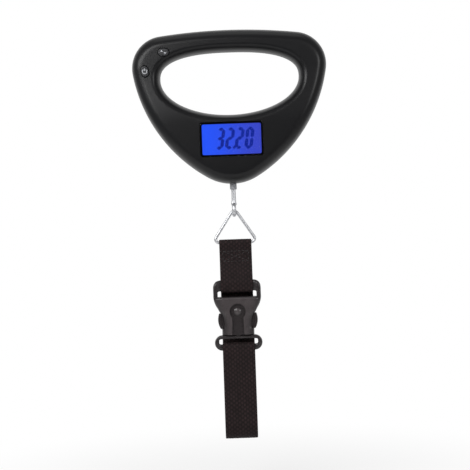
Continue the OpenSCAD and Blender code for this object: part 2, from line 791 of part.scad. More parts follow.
front_shell();
rear_shell();
display_lens();
lcd_panel();
backlight();
zebra_strips();
circuit_board();
controller_chip();
power_button();
unit_button();
button_board();
tact_switches();
load_cell();
strain_gauges();
anchor_plate();
anchor_bolt();
rod_bush();
coin_cell();
positive_contact();
negative_contact();
battery_lid();
housing_screws();
gauge_leads();
button_leads();
battery_leads();
pull_rod();
rod_nut();
triangle_ring();
strap_upper();
buckle_socket();
strap_lower();
buckle_plug();
latch_arm_left();
latch_arm_right();
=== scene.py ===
import bpy
import bmesh
import numpy as np
from math import radians
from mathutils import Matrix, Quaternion, Vector


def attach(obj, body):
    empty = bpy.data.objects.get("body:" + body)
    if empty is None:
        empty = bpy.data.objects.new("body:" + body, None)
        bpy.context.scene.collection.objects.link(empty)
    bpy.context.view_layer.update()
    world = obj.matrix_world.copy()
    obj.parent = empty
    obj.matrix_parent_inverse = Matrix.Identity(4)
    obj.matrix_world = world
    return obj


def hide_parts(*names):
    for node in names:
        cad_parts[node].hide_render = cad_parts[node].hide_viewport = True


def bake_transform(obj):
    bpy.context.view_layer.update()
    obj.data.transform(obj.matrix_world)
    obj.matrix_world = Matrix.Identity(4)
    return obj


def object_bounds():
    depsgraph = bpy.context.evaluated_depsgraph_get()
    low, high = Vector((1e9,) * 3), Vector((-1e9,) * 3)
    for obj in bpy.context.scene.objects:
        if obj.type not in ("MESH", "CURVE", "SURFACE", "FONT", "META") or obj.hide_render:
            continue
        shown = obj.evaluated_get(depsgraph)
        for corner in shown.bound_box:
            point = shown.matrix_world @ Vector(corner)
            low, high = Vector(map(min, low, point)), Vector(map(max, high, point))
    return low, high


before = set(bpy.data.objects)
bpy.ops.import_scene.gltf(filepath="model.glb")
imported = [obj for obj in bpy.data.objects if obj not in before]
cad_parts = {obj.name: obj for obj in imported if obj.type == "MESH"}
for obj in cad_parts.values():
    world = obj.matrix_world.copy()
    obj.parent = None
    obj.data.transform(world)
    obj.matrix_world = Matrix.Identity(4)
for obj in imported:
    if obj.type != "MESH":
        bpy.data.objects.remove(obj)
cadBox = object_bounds()
mm = 0.001  # sizes below are in millimetres, meshes are in metres
samePoint = 1e-7  # points of a surface that are closer than this, in metres, are one


# meshes from arrays

def placed(name, data):
    # an object that holds a mesh, a lamp or a camera, put into the scene
    item = bpy.data.objects.new(name, data)
    bpy.context.scene.collection.objects.link(item)
    return item


def smoothed(mesh, crease):
    # smooth faces, with an edge kept sharp where its two faces meet at more than the crease angle
    mesh.shade_smooth()
    mesh.set_sharp_from_angle(angle=radians(crease))
    return mesh


def gridPiece(name, points, wrapU=False, wrapV=False, caps=False, crease=40, coords=None):
    # quads between neighbouring rows (u) and columns (v) of one grid, or of many grids alike;
    # a wrapped side joins its last line to its first, and a cap closes an end row
    index = np.arange(points.size // 3).reshape(-1, *points.shape[-3:-1])
    grid = np.concatenate([index, index[:, :1]], axis=1) if wrapU else index
    grid = np.concatenate([grid, grid[:, :, :1]], axis=2) if wrapV else grid
    corners = [grid[:, :-1, :-1], grid[:, 1:, :-1], grid[:, 1:, 1:], grid[:, :-1, 1:]]
    faces = np.stack(corners, axis=-1).reshape(-1, 4).tolist()
    if caps:
        faces += index[:, 0, ::-1].tolist() + index[:, -1].tolist()
    mesh = bpy.data.meshes.new(name)
    mesh.from_pydata((points.reshape(-1, 3) * mm).tolist(), [], faces)
    if coords is not None:
        layer = mesh.attributes.new("pieceCoord", "FLOAT_VECTOR", "POINT")
        layer.data.foreach_set("vector", coords.reshape(-1).astype(np.float32))
    work = bmesh.new()
    work.from_mesh(mesh)
    bmesh.ops.remove_doubles(work, verts=work.verts, dist=samePoint)
    bmesh.ops.recalc_face_normals(work, faces=work.faces)
    work.to_mesh(mesh)
    work.free()
    return placed(name, smoothed(mesh, crease))


def joined(name, parts, crease=40):
    # several closed shapes as one piece
    work = bmesh.new()
    for part in parts:
        work.from_mesh(part.data)
        bpy.data.objects.remove(part)
    mesh = bpy.data.meshes.new(name)
    work.to_mesh(mesh)
    work.free()
    return placed(name, smoothed(mesh, crease))


def settle(piece, crease):
    # what the modifiers make becomes the piece's own mesh
    built = piece.evaluated_get(bpy.context.evaluated_depsgraph_get())
    shape = bpy.data.meshes.new_from_object(built)
    piece.modifiers.clear()
    piece.data = smoothed(shape, crease)
    shape.name = piece.name
    return piece


def carve(piece, tools, crease, operation="DIFFERENCE"):
    # each tool's shape is taken away from the piece, or added to it, and the tool goes
    for tool in tools:
        cut = piece.modifiers.new("cut", "BOOLEAN")
        cut.object = tool
        cut.operation = operation
        cut.solver = "EXACT"
    settle(piece, crease)
    for tool in tools:
        bpy.data.objects.remove(tool)
    return piece


def columns(*values):
    # arrays of values side by side, such as x, y and z
    return np.stack(np.broadcast_arrays(*values), axis=-1)


def angles(start, stop, count, last=True):
    # even steps from one angle to another, with the last one or without it
    return np.radians(np.linspace(start, stop, count, endpoint=last))


def arcRun(centre, radius, start, stop, count, last=False):
    # points and outward normals at even angles along an arc; its last point is left to the next arc
    angle = angles(start, stop, count, last)
    normal = columns(np.cos(angle), np.sin(angle))
    return np.array(centre) + radius * normal, normal


def inARow(runs):
    # the points of several lines one after the other, and likewise what goes with each point
    return tuple(np.concatenate(part) for part in zip(*runs))


def unit(rows):
    # each vector divided by its length
    return rows / np.linalg.norm(rows, axis=-1, keepdims=True)


def roundedBox(width, height, radius, count=8):
    # outline and normals of a rectangle with four quarter-circle corners
    x, z = width / 2 - radius, height / 2 - radius
    corners = [(x, z), (-x, z), (-x, -z), (x, -z)]
    return inARow([arcRun(c, radius, 90 * k, 90 * k + 90, count, True) for k, c in enumerate(corners)])


def pillOutline(length, width, count=12):
    # outline and normals of two half circles with straight sides between them
    reach, radius = (length - width) / 2, width / 2
    return inARow([arcRun((reach, 0), radius, -90, 90, count, True),
                   arcRun((-reach, 0), radius, 90, 270, count, True)])


def roundedLine(outline):
    # every corner cut a quarter of the way along its two edges; the normals are square to the chord
    # between the neighbours
    after = np.roll(outline, -1, axis=0)
    cuts = [0.75 * outline + 0.25 * after, 0.25 * outline + 0.75 * after]
    outline = np.stack(cuts, axis=1).reshape(-1, 2)
    chord = np.roll(outline, 1, axis=0) - np.roll(outline, -1, axis=0)
    return outline, unit(columns(chord[:, 1], -chord[:, 0]))


def mirroredLine(half):
    # the right half from top to bottom, then its mirror image from bottom to top
    half = np.array(half, float)
    return np.concatenate([half, half[::-1] * [-1, 1]])


def turned(points, degrees):
    # a turn of front-view points about their origin
    c, s = np.cos(radians(degrees)), np.sin(radians(degrees))
    return points @ np.array([[c, s], [-s, c]])


def atDepth(flat, y):
    # front-view points (x, z) set at depth y
    return columns(flat[..., 0], y, flat[..., 1])


def sideView(flat):
    # side-view points (y, z) set in the middle plane, x = 0
    return columns(0, flat[:, 0], flat[:, 1])


def stack(name, outline, normal, steps, place=(0, 0), turn=0, crease=40):
    # one ring for each (grow, depth) step: the outline moved out along its normals by grow, at
    # y = depth, with both ends closed
    grow, depth = np.array(steps, float).T
    flat = outline[None] + grow[:, None, None] * normal[None]
    flat = turned(flat, turn) + np.array(place)
    return gridPiece(name, atDepth(flat, depth[:, None]), wrapV=True, caps=True, crease=crease)


def prism(name, outline, depths, place=(0, 0), turn=0):
    # a straight block between two depths
    return stack(name, outline, 0 * outline, [(0, y) for y in depths], place, turn)


def shifted(steps, depth):
    # (grow, depth) steps counted from another depth
    return [(grow, depth + y) for grow, y in steps]


def holeSteps(mouth, face, floor):
    # (grow, depth) steps down the rounded mouth of a hole in a face, then straight to its floor
    return shifted(mouth, face) + [(mouth[-1][0], floor)]


def roundedEdge(radius, count, face):
    # quarter circle of (grow, depth) steps from a plate's side up to its front face
    angle = angles(0, 90, count)
    return list(zip(-radius * (1 - np.cos(angle)), face - radius * (np.sin(angle) - 1)))


def lathe(name, profile, place=(0, 0, 0), axis="z", count=48):
    # a profile of (radius, height) turned about an axis; it is closed, or starts and ends on the axis
    radius, height = np.array(profile, float).T
    angle = angles(0, 360, count, False)[:, None]
    a, b = radius * np.cos(angle), radius * np.sin(angle)
    points = columns(a, b, height) if axis == "z" else columns(a, height, b)
    return gridPiece(name, points + np.array(place), wrapU=True, wrapV=radius[0] > samePoint / mm)


def curveRun(rows, count):
    # a smooth line through rows of values: cubic between rows, its slope at each the mean of the steps
    # beside it
    rows = np.array(rows, float)
    slope = np.gradient(rows, axis=0)
    t = np.linspace(0, len(rows) - 1, count)
    i = np.minimum(t.astype(int), len(rows) - 2)
    s = (t - i)[:, None]
    return ((1 + 2 * s) * (1 - s) ** 2 * rows[i] + s * (1 - s) ** 2 * slope[i]
            + s ** 2 * (3 - 2 * s) * rows[i + 1] - s ** 2 * (1 - s) * slope[i + 1])


def evenly(path, step):
    # points at even distances along a line, and those distances
    length = np.concatenate([[0], np.cumsum(np.linalg.norm(np.diff(path, axis=0), axis=1))])
    at = np.linspace(0, length[-1], max(2, int(round(length[-1] / step)) + 1))
    return np.stack([np.interp(at, length, c) for c in path.T], axis=-1), at


def sweep(name, path, profile, plane, closed=False, coords=None, crease=40):
    # a profile of (in the plane, across the plane) offsets carried square to a path that lies in a plane
    step = np.gradient(path, axis=0)
    if closed:
        step = np.roll(path, -1, axis=0) - np.roll(path, 1, axis=0)
    plane = np.array(plane, float)
    side = np.cross(plane, unit(step))
    points = path[:, None] + profile[..., :1] * side[:, None] + profile[..., 1:] * plane
    return gridPiece(name, points, closed, True, not closed, crease, coords)


def ovalProfile(halfA, halfB, power, count):
    # superellipse |a / halfA| ^ power + |b / halfB| ^ power = 1 at even polar angles, one row for each
    # pair of half sizes
    halfA, halfB, power = (np.atleast_1d(v)[:, None] for v in (halfA, halfB, power))
    angle = angles(0, 360, count, False)
    c, s = np.cos(angle), np.sin(angle)
    reach = (np.abs(c) ** power + np.abs(s) ** power) ** (-1 / power)
    return columns(halfA * reach * c, halfB * reach * s)


def bevelledCopy(node, name, width, merge=2e-6, level=0.5, sharp=35, crease=30):
    # a copy of a CAD node, merged within so many metres, with faces that are level to within an angle
    # whole again and edges past the sharp angle rounded
    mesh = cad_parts[node].data.copy()
    mesh.materials.clear()
    work = bmesh.new()
    work.from_mesh(mesh)
    bmesh.ops.remove_doubles(work, verts=work.verts, dist=merge)
    bmesh.ops.dissolve_limit(work, angle_limit=radians(level), verts=work.verts, edges=work.edges)
    work.to_mesh(mesh)
    work.free()
    piece = placed(name, mesh)
    edge = piece.modifiers.new("edges", "BEVEL")
    edge.width = width * mm
    edge.segments = 3
    edge.limit_method = "ANGLE"
    edge.angle_limit = radians(sharp)
    return settle(piece, crease)


# materials

noiseRange = (0.3, 0.7)  # where nearly all of a noise's values lie
grainDepth = 0.00006  # metres between the low and the high places of a grain at full strength


def colour(hexValue):
    # sRGB hex to linear light
    channel = np.array([int(hexValue[i:i + 2], 16) / 255 for i in (1, 3, 5)])
    linear = np.where(channel <= 0.04045, channel / 12.92, ((channel + 0.055) / 1.055) ** 2.4)
    return (*linear.tolist(), 1.0)


def feed(tree, node, inputs):
    # each socket gets a value, or a link from another socket or from a node's first output
    for key, value in inputs.items():
        source = getattr(value, "outputs", [value])[0]
        if isinstance(source, bpy.types.NodeSocket):
            tree.links.new(source, node.inputs[key])
        else:
            node.inputs[key].default_value = value


def addNode(tree, kind, inputs, **settings):
    # one node with its settings and with what goes into its sockets
    node = tree.nodes.new("ShaderNode" + kind)
    for key, value in settings.items():
        setattr(node, key, value)
    feed(tree, node, inputs)
    return node


def span(start, stop, low=0.0, high=1.0):
    # a range of values, and what its two ends become
    return {"From Min": start, "From Max": stop, "To Min": low, "To Max": high}


def newMaterial(name, values):
    # a material with one Principled shader; the values are the same all over the surface
    material = bpy.data.materials.new(name)
    material.use_nodes = True
    tree = material.node_tree
    tree.nodes.clear()
    shader = addNode(tree, "BsdfPrincipled", values)
    addNode(tree, "OutputMaterial", {"Surface": shader})
    return material, tree, shader


def grained(name, dark, light, roughness, grainMm, bump, spreadMm=30, metal=0.0, specular=0.5):
    # cloudy colour between two close tones, and a fine grain in the gloss and the relief, on Object
    # coordinates; a noise's scale is one over its size in metres
    values = {"Metallic": metal, "Specular IOR Level": specular}
    material, tree, shader = newMaterial(name, values)
    place = addNode(tree, "TexCoord", {}).outputs["Object"]
    cloud = addNode(tree, "TexNoise", {"Vector": place, "Scale": 1000 / spreadMm, "Detail": 3.0})
    tones = {6: colour(dark), 7: colour(light)}
    tone = addNode(tree, "Mix", {"Factor": cloud, **tones}, data_type="RGBA")
    grain = addNode(tree, "TexNoise", {"Vector": place, "Scale": 1000 / grainMm, "Detail": 4.0})
    gloss = addNode(tree, "MapRange", {"Value": grain, **span(*noiseRange, *roughness)})
    relief = addNode(tree, "Bump", {"Height": grain, "Strength": bump, "Distance": grainDepth})
    feed(tree, shader, {"Base Color": tone.outputs[2], "Roughness": gloss, "Normal": relief})
    return material


def finishPiece(piece, material, body, slot, *nodes):
    # material, the body it moves with, the record's slot, which is not used, and the CAD nodes it stands for
    piece.data.materials.clear()
    piece.data.materials.append(material)
    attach(piece, body)
    if nodes:
        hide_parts(*nodes)


# ABS, moulded in a spark-eroded tool: satin black whose fine grain softens every reflection;
# the grain is drawn about three times as coarse as the real one so that it shows
blackAbs = grained("black_abs_moulded", "#101012", "#161618", (0.32, 0.4), 0.6, 0.06, specular=0.32)
# silicone rubber, moulded: a little greyer and duller than the housing
keyRubber = grained("silicone_keys_moulded", "#222225", "#2a2a2d", (0.5, 0.6), 0.3, 0.2)
# ink, pad printed: flat light grey with slightly uneven cover
greyInk = grained("grey_ink_printed", "#9b9da1", "#b4b6ba", (0.55, 0.65), 0.2, 0.1, 2)
# steel wire, drawn and nickel plated: bright, with faint clouding
platedSteel = grained("steel_wire_nickel_plated", "#d6d7da", "#e4e5e8", (0.42, 0.5), 1.5, 0.02, 6, 1.0)
# acetal, turned: pale grey and slightly waxy
bushAcetal = grained("acetal_bush_turned", "#94959a", "#a2a3a7", (0.4, 0.5), 0.4, 0.1)


# housing: two shells that meet in a groove round the rim; a mouth is the rounded edge of a hole, as
# (grow, depth from the face) steps

housing = dict(width=144, height=114, shoulder=24, shoulderDrop=27, side=111.5, foot=36, grip=16.6,
               gripDepth=12.5, displayDepth=15, swellFrom=-20, swellLength=40, backDepth=13, wall=2.4,
               rim=8, openingRim=6, openingWidth=102.6, openingLow=27.2, openingHigh=19,
               openingPowers=(2.0, 2.5), crown=0.6, groove=0.35, inset=0.06, crease=32,
               backMouth=[(0.5, 1), (0.4, 0), (0.12, -0.15), (0, -0.4)])
topZ = housing["grip"] / 2
footZ = topZ - housing["height"]
shoulderC = np.array([housing["width"] / 2 - housing["shoulder"], topZ - housing["shoulderDrop"]])
openingC = np.array([0, -housing["grip"] / 2 - housing["openingHigh"]])


def heading(v):
    # angle of a front-view direction, in degrees
    return np.degrees(np.arctan2(v[1], v[0]))


def housingOutline(count):
    # tangent arcs for the nearly flat top, shoulder, long side and foot, sampled in proportion to their
    # length, then the mirror image; the side's middle is where circles about the shoulder and the foot
    # cross
    shoulderR, sideR, footR = housing["shoulder"], housing["side"], housing["foot"]
    lift = topZ - shoulderC[1]
    topR = (shoulderC[0] ** 2 + lift ** 2 - shoulderR ** 2) / (2 * (lift - shoulderR))
    topC = np.array([0, topZ - topR])
    footC = np.array([0, footZ + footR])
    ra, rb = sideR - shoulderR, sideR - footR
    d = np.linalg.norm(footC - shoulderC)
    e = (footC - shoulderC) / d
    a = (ra ** 2 - rb ** 2 + d ** 2) / (2 * d)
    sideC = shoulderC + a * e + np.sqrt(ra ** 2 - a ** 2) * np.array([e[1], -e[0]])
    turns = [90, heading(shoulderC - topC), heading(shoulderC - sideC), heading(footC - sideC), -90]
    arcs = [(topC, topR), (shoulderC, shoulderR), (sideC, sideR), (footC, footR)]
    length = [r * radians(turns[k] - turns[k + 1]) for k, (c, r) in enumerate(arcs)]
    share = [max(6, round(count / 2 * part / sum(length))) for part in length]
    runs = [arcRun(c, r, turns[k], turns[k + 1], share[k]) for k, (c, r) in enumerate(arcs)]
    half = inARow(runs + [([[0, footZ]], [[0, -1]])])
    points, normals = (np.concatenate([side, side[-2:0:-1] * [-1, 1]]) for side in half)
    return points - housing["inset"] * normals, normals


def openingEdge(p):
    # where the ray from the opening's middle to p meets its edge, a half ellipse below and a squarer half
    # above, and the normal there
    d = p - openingC
    low = d[:, 1] < 0
    half = columns(housing["openingWidth"] / 2, np.where(low, housing["openingLow"], housing["openingHigh"]))
    power = np.where(low, *housing["openingPowers"])[:, None]
    q = openingC + d * (np.abs(d / half) ** power).sum(1, keepdims=True) ** (-1 / power)
    return q, unit(np.sign(q - openingC) * np.abs((q - openingC) / half) ** (power - 1) / half)


def frontDepth(p):
    # deeper from the grip down to the display by a smooth step, with a slight crown across the width
    t = np.clip((housing["swellFrom"] - p[..., 1]) / housing["swellLength"], 0, 1)
    swell = (housing["displayDepth"] - housing["gripDepth"]) * t * t * (3 - 2 * t)
    return housing["gripDepth"] + swell + housing["crown"] * (1 - (2 * p[..., 0] / housing["width"]) ** 2)


def shellHalf(name, front, around=264, across=14, level=10, inside=6, leave=2.2):
    # rings round the outline: groove, quarter-oval rim, face, quarter-oval lip of the opening, groove, and
    # then back along the inside of the wall; leave is the angle in degrees at which a rim leaves the groove
    outline, outward = housingOutline(around)
    edge, inward = openingEdge(outline)
    side = -1 if front else 1
    wall, groove = housing["wall"], housing["groove"]
    rims = [housing["rim"], housing["openingRim"]]

    def at(inset, which):
        # the outline moved inwards, or the opening's edge moved outwards
        return edge + inset * inward if which else outline - inset * outward

    def faceDepth(p):
        # how far the face lies from the plane of the groove
        return frontDepth(p) if front else housing["backDepth"]

    def rim(which, t, degrees):
        # a ring on the quarter oval at an angle from the groove, t below the surface
        p = at(t + (rims[which] - t) * (1 - np.cos(radians(degrees))), which)
        return atDepth(p, side * (faceDepth(p) - t) * np.sin(radians(degrees)))

    def face(t, share):
        # a ring a share of the way from the outer rim to the opening's lip, t below the surface
        p = (1 - share) * at(rims[0], 0) + share * at(rims[1], 1)
        return atDepth(p, side * (faceDepth(p) - t))

    tilts = np.maximum(np.linspace(0, 90, across + 1)[1:], leave)
    backTilts = np.linspace(0, 90, inside)
    rings = [atDepth(at(groove, 0), 0.0), atDepth(at(0, 0), side * groove)]
    rings += [rim(0, 0, a) for a in tilts]
    rings += [face(0, s) for s in np.linspace(0, 1, level)[1:-1]]
    rings += [rim(1, 0, a) for a in tilts[::-1]]
    rings += [atDepth(at(0, 1), side * groove), atDepth(at(groove, 1), 0.0)]
    rings += [rim(1, wall, a) for a in backTilts] + [face(wall, 0.5)]
    rings += [rim(0, wall, a) for a in backTilts[::-1]]
    return gridPiece(name, np.stack(rings), wrapU=True, wrapV=True, crease=housing["crease"])


view = dict(width=43.4, height=22.4, corner=1.2, place=(0, -72.8), holeY=(-17, -10), lensBorder=1.5,
            lensCorner=1.9, lensFront=-15.4, lensBack=-13.9, lensEdge=0.3, lensChamfer=0.15,
            lensFlat=(0.5, 0.4), seatGap=0.1, seatCorner=2, mouth=[(0.7, -2), (0.45, -0.35), (0, 0.1)])
lensSize = np.array([view["width"], view["height"]]) + 2 * view["lensBorder"]
shoulderLeft = shoulderC * [-1, 1]
keys = dict(length=8, width=5.4, proud=0.8, skirt=0.8, skirtY=(-9.1, -8.3), edge=0.5, edgeDrop=0.1,
            crown=[(-1.1, 0.05), (-1.8, 0.01), (-2.5, 0)], mouth=[(0.9, -1), (0.65, -0.1), (0.3, 0.3)],
            holeEnd=-8, places=dict(power=shoulderLeft + [-14, -2.5], unit=shoulderLeft + [0.2, 11.1]))
screwWell = dict(radius=2.9, floor=8.6, rightPlaces=[(36, -2.5), (58.5, -38), (38.5, -73)])
cell = dict(place=np.array([0, -76.0]), cup=16.5, cupY=(4.8, 11.5), pocket=10.6, pocketY=(6.0, 12),
            lidHole=13.18, lidY=10.6, lidEdge=0.3, lug=14.8, lugY=(9.4, 10.9), lugHalf=17, notchIn=9.5,
            notchY=(9.4, 14), unlock=45)
rodHole = dict(radius=2.55, reach=6)


def keyTurn(place):
    # a key lies along the shoulder's arc
    return heading(place - shoulderLeft) - 90


def disc(radius, count):
    # outline and normals of a circle
    return arcRun((0, 0), radius, 0, 360, count)


def backWell(name, place, radius, floor, count):
    # a round well in the back, from its floor up to its rounded mouth
    steps = holeSteps(housing["backMouth"], housing["backDepth"], floor)
    return stack(name, *disc(radius, count), steps[::-1], place)


def rodTool():
    # the upright hole for the rod's collar
    r, h = rodHole["radius"], rodHole["reach"]
    return lathe("rod_hole", [(0, -h), (r, -h), (r, h), (0, h)], (0, 0, footZ))


def frontTools():
    # the rod's hole, seat and hole of the window, and two key holes with a rounded mouth
    seatSize = lensSize + 2 * view["seatGap"]
    seat = roundedBox(*seatSize, view["seatCorner"])
    seatSteps = holeSteps(view["mouth"], view["lensFront"], view["lensBack"])
    hole = roundedBox(view["width"], view["height"], view["corner"])[0]
    tools = [rodTool(), stack("lens_seat", *seat, seatSteps, view["place"]),
             prism("window_hole", hole, view["holeY"], view["place"])]
    for label, place in keys["places"].items():
        steps = holeSteps(keys["mouth"], -float(frontDepth(place)), keys["holeEnd"])
        outline = pillOutline(keys["length"], keys["width"])
        tools.append(stack("key_hole_" + label, *outline, steps, place, keyTurn(place)))
    return tools


def rearTools():
    # the rod's hole, cell pocket, lid hole, groove for the lid's lugs, six screw wells, and two notches
    # that let the lugs in
    place, lug, half = cell["place"], cell["lug"], cell["lugHalf"]
    tools = [rodTool(), prism("cell_pocket", disc(cell["pocket"], 64)[0], cell["pocketY"], place),
             backWell("lid_hole", place, cell["lidHole"], cell["lidY"], 72),
             prism("lug_groove", disc(lug, 72)[0], cell["lugY"], place)]
    tools += [backWell("screw_well", (s * x, z), screwWell["radius"], screwWell["floor"], 48)
              for s in (-1, 1) for x, z in screwWell["rightPlaces"]]
    wedge = inARow([arcRun((0, 0), lug, -half, half, 10, True),
                    arcRun((0, 0), cell["notchIn"], half, -half, 6, True)])[0]
    tools += [prism("lug_notch", wedge, cell["notchY"], place, s - cell["unlock"]) for s in (0, 180)]
    return tools


frontShell = carve(shellHalf("housing_front", True), frontTools(), housing["crease"])
finishPiece(frontShell, blackAbs, "housing", "housing_plastic", "front_shell")
rearShell = shellHalf("housing_rear", False)
cellCup = prism("cell_cup", disc(cell["cup"], 64)[0], cell["cupY"], cell["place"])
carve(rearShell, [cellCup], housing["crease"], "UNION")
carve(rearShell, rearTools(), housing["crease"])
finishPiece(rearShell, blackAbs, "housing", "housing_plastic", "rear_shell")
batteryCover = bevelledCopy("battery_lid", "battery_cover", cell["lidEdge"])
finishPiece(batteryCover, blackAbs, "battery_lid", "housing_plastic", "battery_lid")
print("housing:", len(frontShell.data.polygons), "+", len(rearShell.data.polygons), "faces")


# display: clear window, lit panel, seven-segment figures; lensFlat is how far the last ring of the window's
# back and front face is drawn in

frontY, backY, chamfer = view["lensFront"], view["lensBack"], view["lensChamfer"]
lensSteps = [(-view["lensFlat"][0], backY), (-chamfer, backY), (0, backY - chamfer)]
lensSteps += roundedEdge(view["lensEdge"], 5, frontY) + [(-view["lensFlat"][1], frontY)]
lensOutline = roundedBox(*lensSize, view["lensCorner"])
lens = stack("display_window", *lensOutline, lensSteps, view["place"], crease=50)
# acrylic, polished: clear, so that it shows only as a faint reflection over the figures
clearAcrylic = newMaterial("acrylic_window_polished", {
    "Base Color": colour("#f6f8ff"), "Roughness": 0.05, "IOR": 1.49, "Transmission Weight": 1.0})[0]
finishPiece(lens, clearAcrylic, "housing", "display_window", "display_lens")

figures = dict(reading="32.20", height=16, width=6.1, pitch=7.15, bar=2.4, gap=0.08, point=1.4,
               pointHeight=2.9, lean=0.14, left=-10.2, z=0.5, frontY=-13.14, thick=0.03, cloudMm=8)
segments = {"0": "abcdef", "1": "bc", "2": "abged", "3": "abgcd", "4": "fgbc", "5": "afgcd",
            "6": "afgedc", "7": "abc", "8": "abcdefg", "9": "abcdfg"}
segmentEnds = {"a": (0, 1, 1, 1), "b": (1, 0, 1, 1), "c": (1, -1, 1, 0), "d": (0, -1, 1, -1),
               "e": (0, -1, 0, 0), "f": (0, 0, 0, 1), "g": (0, 0, 1, 0)}


def readingBars(name):
    # each lit bar joins two points of a box one wide and two high, and is a long hexagon with its ends cut
    # to 45 degrees; the point is a short bar at the foot; all lean over by a shear
    bar, gap = figures["bar"], figures["gap"]
    box = np.array([figures["width"] - bar, (figures["height"] - bar) / 2])
    ends, slot = [], 0
    for sign in figures["reading"]:
        shift = np.array([figures["left"] + slot * figures["pitch"], 0])
        for s in segments.get(sign, ""):
            ends.append(np.array(segmentEnds[s]).reshape(2, 2) * box + shift)
        if sign == ".":
            foot = shift - [figures["point"], box[1] + bar / 2]
            ends.append(np.array([foot, foot + [0, figures["pointHeight"]]]))
        slot += sign != "."
    a, b = np.stack(ends, axis=1)
    along = unit(b - a)
    side = columns(-along[:, 1], along[:, 0]) * bar / 2
    a, b, tip = a + along * gap, b - along * gap, along * bar / 2
    corners = [a, a + tip - side, b - tip - side, b, b - tip + side, a + tip + side]
    flat = np.stack(corners, axis=1)
    flat[..., 0] += figures["lean"] * flat[..., 1]
    flat = np.stack([flat, flat], axis=1) + [0, figures["z"]] + view["place"]
    depth = figures["frontY"] + np.array([0, figures["thick"]])
    return gridPiece(name, atDepth(flat, depth[:, None]), wrapV=True, caps=True)


def glowing(name, base, roughness, first, last):
    # a dark surface that gives light of its own, between two tones; what shares them out, by the place on
    # the piece, is still to be fed to the mix
    material, tree, shader = newMaterial(name, {"Base Color": colour(base), "Roughness": roughness,
                                                "Specular IOR Level": 0.1, "Emission Strength": 1.0})
    mix = addNode(tree, "Mix", {6: colour(first), 7: colour(last)}, data_type="RGBA")
    feed(tree, shader, {"Emission Color": mix.outputs[2]})
    return material, tree, mix, addNode(tree, "TexCoord", {}).outputs["Object"]


# liquid crystal, blocking: deep blue where a bar holds back the light behind it, slightly uneven
figureInk, tree, mix, place = glowing("liquid_crystal_figures", "#040820", 0.3, "#0a2292", "#0f2a9e")
uneven = addNode(tree, "TexNoise", {"Vector": place, "Scale": 1000 / figures["cloudMm"], "Detail": 2.0})
feed(tree, mix, {"Factor": uneven})
finishPiece(readingBars("display_figures"), figureInk, "housing", "display_glass")

# liquid crystal, backlit: strong blue, clearest at the lamp on the left and more violet to the right
litGlass, tree, mix, place = glowing("liquid_crystal_backlit", "#0c1740", 0.15, "#2558ff", "#3b49c8")
axes = addNode(tree, "SeparateXYZ", {"Vector": place})
edgeX = view["width"] / 2 * mm
across = addNode(tree, "MapRange", {"Value": axes.outputs["X"], **span(-edgeX, edgeX)},
                 interpolation_type="SMOOTHSTEP")
feed(tree, mix, {"Factor": across})
print("display:", figures["reading"])


# push buttons on the left shoulder; the arrow is the upper of the unit mark's two

marks = dict(ring=(1.95, 1.3), ringTurn=(125, 415), barHalf=0.32, barZ=(0.2, 2.15),
             arrow=[(-2.2, 0.2), (-0.2, 0.2), (-1.2, 1.85)], proud=0.03, sunk=0.3)


def keyMark(label):
    # power: an open ring and a bar; unit: two arrowheads, one up and one down
    if label == "power":
        (outer, hole), (start, stop) = marks["ring"], marks["ringTurn"]
        ring = inARow([arcRun((0, 0), outer, start, stop, 30, True),
                       arcRun((0, 0), hole, stop, start, 30, True)])[0]
        half, (low, high) = marks["barHalf"], marks["barZ"]
        return [ring, np.array([(-half, low), (half, low), (half, high), (-half, high)])]
    up = np.array(marks["arrow"])
    return [up, -up]


for label, place in keys["places"].items():
    faceY = -float(frontDepth(place)) - keys["proud"]
    low, high = keys["skirtY"]
    steps = [(keys["skirt"], high), (keys["skirt"], low), (0, low)]
    steps += roundedEdge(keys["edge"], 6, faceY + keys["edgeDrop"]) + shifted(keys["crown"], faceY)
    outline = pillOutline(keys["length"], keys["width"], 20)
    cap = stack(label + "_cap", *outline, steps, place, keyTurn(place), crease=50)
    finishPiece(cap, keyRubber, label + "_button", "button_rubber", label + "_button")
    depths = (faceY - marks["proud"], faceY + marks["sunk"])
    printed = [prism("mark", line, depths, place) for line in keyMark(label)]
    finishPiece(joined(label + "_mark", printed), greyInk, label + "_button", "button_rubber")
print("buttons:", len(keys["places"]))


# rod, collar and triangle

rod = dict(radius=1.6, top=-81.3, chamfer=0.3, eyeZ=-124.8, eyeRadius=4, eyeWire=1.5, neck=0.5,
           neckLength=5)
collar = dict(bore=1.68, radius=2.5, flange=3.6, low=-4.2, step=3.1, high=4.6, edge=0.3)
triangle = dict(wire=1.1, barZ=-149.2, width=29, cornerBend=2.6, apexBend=2.7, apexZ=-128.8, step=0.45)


def rodProfile():
    # straight stem with a chamfered top; its foot swells by a cube law and closes in a half oval inside
    # the eye, like a forged neck
    foot, r, c, top = rod["eyeZ"] + rod["eyeRadius"], rod["radius"], rod["chamfer"], rod["top"]
    turn = angles(-90, 0, 12, False)
    close = columns((r + rod["neck"]) * np.cos(turn), foot + rod["eyeWire"] * np.sin(turn))
    t = np.linspace(1, 0, 14)
    swell = columns(r + rod["neck"] * t ** 3, foot + rod["neckLength"] * (1 - t))
    return np.concatenate([close, swell, [[r, top - c], [r - c, top], [0, top]]])


def collarProfile():
    # sleeve with a rounded foot, and a flange inside the housing
    bore, r, flange, e = (collar[size] for size in ("bore", "radius", "flange", "edge"))
    low, step, high = (footZ + collar[place] for place in ("low", "step", "high"))
    foot = arcRun((r - e, low + e), e, -90, 0, 5, True)[0]
    return np.concatenate([[[bore, low]], foot, [[r, step], [flange, step], [flange, high], [bore, high]]])


